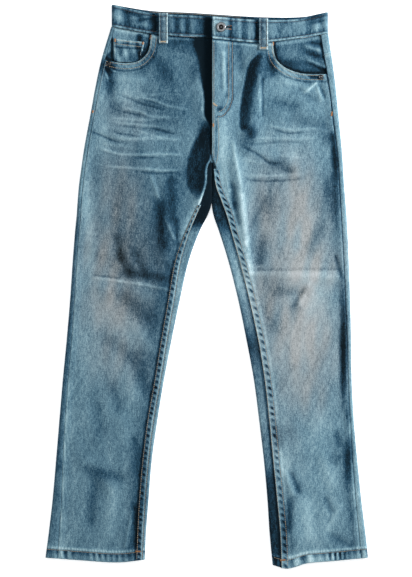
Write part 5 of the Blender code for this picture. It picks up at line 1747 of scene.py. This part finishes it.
class JeansStage(bpy.types.PropertyGroup):
    floor: colour_choice("Floor", "Colour of the backdrop", "#F4F5F6")
    key: power_choice("Key light", "Power of the large light at the right", 52.0)
    fill: power_choice("Fill light", "Power of the soft light overhead", 16.0)
    ambient: FloatProperty(name="Ambient light", description="Brightness of the room",
                           default=0.42, min=0.0, max=3.0)
    glow: FloatProperty(name="Light table", description="Brightness of the lit floor",
                        default=0.55, min=0.0, max=3.0)


class JeansSettings(bpy.types.PropertyGroup):
    denim: PointerProperty(type=JeansDenim)
    thread: PointerProperty(type=JeansThread)
    metal: PointerProperty(type=JeansMetal)
    stage: PointerProperty(type=JeansStage)


def choices():
    return bpy.context.scene.jeans


def denim():
    return bpy.data.materials.get("Washed indigo denim, woven") or denim_material(choices().denim)


def metal():
    found = bpy.data.materials.get("Aged nickel plating, pressed")
    return found or metal_material(choices().metal)


def thread(kind):
    title = f"Core-spun thread, {kind}"
    dark = {"tan": "#6E6253", "orange": "#6B4423", "blue": "#4D7186", "brown": "#1C1512"}[kind]
    found = bpy.data.materials.get(title)
    return found or thread_material(title, tuple(getattr(choices().thread, kind)), srgb(dark))


class JEANS_OT_legs(bpy.types.Operator):
    """Lay out the two fronts and the two backs"""
    bl_idname = "jeans.legs"
    bl_label = "Legs"

    def execute(self, context):
        for leg in LEGS:
            sew_on(front_cloth(leg), node=f"front_{leg.name}")
            sew_on(back_cloth(leg), node=f"back_{leg.name}")
        sew_on(seat_strip())
        return {"FINISHED"}


class JEANS_OT_yokes(bpy.types.Operator):
    """Lay out the two back yokes"""
    bl_idname = "jeans.yokes"
    bl_label = "Yokes"

    def execute(self, context):
        for leg in LEGS:
            sew_on(yoke_cloth(leg), node=f"yoke_{leg.name}")
        return {"FINISHED"}


class JEANS_OT_pockets(bpy.types.Operator):
    """Lay out the pocket facings, the coin pocket and the back pockets"""
    bl_idname = "jeans.pockets"
    bl_label = "Pockets"

    def execute(self, context):
        for leg, centre in zip(LEGS, BACK_POCKET_X):
            sew_on(facing_cloth(leg), node=f"pocket_facing_{leg.name}")
            sew_on(back_pocket_cloth(leg, centre), node=f"back_pocket_{leg.name}")
        sew_on(coin_cloth(), node="coin_pocket")
        return {"FINISHED"}


class JEANS_OT_waistband(bpy.types.Operator):
    """Lay out the waistband, with its buttonhole, and the belt loops on it"""
    bl_idname = "jeans.waistband"
    bl_label = "Waistband and belt loops"

    def execute(self, context):
        sew_on(band_cloth(), node="waistband")
        for front, loops in ((True, FRONT_LOOPS), (False, BACK_LOOPS)):
            for name, *places in loops:
                sew_on(loop_cloth(name, *places, front), node=f"belt_loop_{name}")
        return {"FINISHED"}


class JEANS_OT_fly(bpy.types.Operator):
    """Lay out the underlap behind the fly and finish the zip on it"""
    bl_idname = "jeans.fly"
    bl_label = "Fly"

    def execute(self, context):
        sew_on(shield_cloth(), node="fly_shield")
        materials = frame["nodes"]["zip"].data.materials
        materials.clear()
        materials.append(tape_material())
        return {"FINISHED"}


class JEANS_OT_hems(bpy.types.Operator):
    """Lay out the turned-up hems and the raised strips of the inseams"""
    bl_idname = "jeans.hems"
    bl_label = "Hems and inseams"

    def execute(self, context):
        for leg in LEGS:
            sew_on(hem_ring(leg), node=f"hem_{leg.name}")
            sew_on(seam_strip(leg))
        return {"FINISHED"}


class JEANS_OT_stitching(bpy.types.Operator):
    """Sew the stitched rows, the bar tacks and the buttonhole"""
    bl_idname = "jeans.stitching"
    bl_label = "Stitching"

    def execute(self, context):
        trees = cloth_trees(piece for piece in garment().objects
                            if not piece.name.endswith("_metal"))
        thickness = choices().thread.thickness / MM
        for side, above, rows, tacks in (("front", True, front_rows(), FRONT_TACKS),
                                         ("back", False, back_rows(), BACK_TACKS)):
            sewn = {}
            for path, pitch, kind in rows:
                sewn.setdefault(kind, []).extend(stitches_along(trees, path, pitch, above))
            sewn["orange"] = tack_stitches(trees, tacks, above)
            if above:
                sewn["tan"] += tack_stitches(trees, TAN_TACKS, above)
                sewn["orange"] += buttonhole_stitches(trees)
            for kind, stitches in sewn.items():
                settle(thread_piece(f"thread_{kind}_{side}", stitches, thickness, above),
                       thread(kind))
        return {"FINISHED"}


class JEANS_OT_metal(bpy.types.Operator):
    """Set the button and the rivets"""
    bl_idname = "jeans.metal"
    bl_label = "Button and rivets"

    def execute(self, context):
        settle(button_piece(), metal(), node="button")
        for name, x, y in RIVET_AT:
            settle(rivet_piece(name, x, y), metal(), node=name)
        return {"FINISHED"}


class JEANS_OT_stage(bpy.types.Operator):
    """Set up the floor, the lights and the camera straight above"""
    bl_idname = "jeans.stage"
    bl_label = "Stage"

    def execute(self, context):
        settings, scene = choices().stage, context.scene

        def place(name, data, at=(0.0, 0.0, 0.0)):
            holder = bpy.data.objects.new(name, data)
            holder.location = at
            scene.collection.objects.link(holder)
            return holder

        bm = bmesh.new()
        bmesh.ops.create_grid(bm, x_segments=2, y_segments=2, size=FLOOR_HALF)
        bmesh.ops.translate(bm, verts=bm.verts, vec=(0.0, 0.0, FLOOR_Z))
        mesh = mesh_from(bm, "floor")
        mesh.materials.append(floor_material(settings))
        place("floor", mesh)
        for name, at, size, power in (("key", KEY_AT, KEY_SIZE, settings.key),
                                      ("fill", FILL_AT, FILL_SIZE, settings.fill)):
            lamp = bpy.data.lights.new(name, "AREA")
            lamp.energy, lamp.size, lamp.shape = power, size, "DISK"
            place(name, lamp, at).rotation_euler = (-Vector(at)).to_track_quat("-Z", "Y").to_euler()
        world = bpy.data.worlds.new("Pale room")
        world.use_nodes = True
        backdrop = world.node_tree.nodes["Background"]
        backdrop.inputs["Color"].default_value = (1.0, 1.0, 1.0, 1.0)
        backdrop.inputs["Strength"].default_value = settings.ambient
        scene.world = world
        scene.view_settings.view_transform = "Standard"
        lens = bpy.data.cameras.new("camera")
        lens.sensor_width = SENSOR
        lens.lens = SENSOR * CAMERA_AT[2] / VIEW_HEIGHT
        scene.camera = place("camera", lens, CAMERA_AT)
        return {"FINISHED"}


ORDER = (JEANS_OT_legs, JEANS_OT_yokes, JEANS_OT_pockets, JEANS_OT_waistband, JEANS_OT_fly,
         JEANS_OT_hems, JEANS_OT_stitching, JEANS_OT_metal, JEANS_OT_stage)


class JEANS_PT_sidebar(bpy.types.Panel):
    bl_idname = "JEANS_PT_sidebar"
    bl_label = "Skinny jeans"
    bl_space_type = "VIEW_3D"
    bl_region_type = "UI"
    bl_category = "Jeans"

    def draw(self, context):
        for group in (context.scene.jeans.denim, context.scene.jeans.thread,
                      context.scene.jeans.metal, context.scene.jeans.stage):
            box = self.layout.box()
            for name in group.__annotations__:
                box.prop(group, name)
        for operator in ORDER:
            self.layout.operator(operator.bl_idname)


CLASSES = (JeansDenim, JeansThread, JeansMetal, JeansStage, JeansSettings, *ORDER,
           JEANS_PT_sidebar)


def register():
    for each in CLASSES:
        bpy.utils.register_class(each)
    bpy.types.Scene.jeans = PointerProperty(type=JeansSettings)


def unregister():
    del bpy.types.Scene.jeans
    for each in reversed(CLASSES):
        bpy.utils.unregister_class(each)


def main():
    register()
    for operator in ORDER:
        group, name = operator.bl_idname.split(".")
        getattr(getattr(bpy.ops, group), name)()


if __name__ == "__main__":
    main()
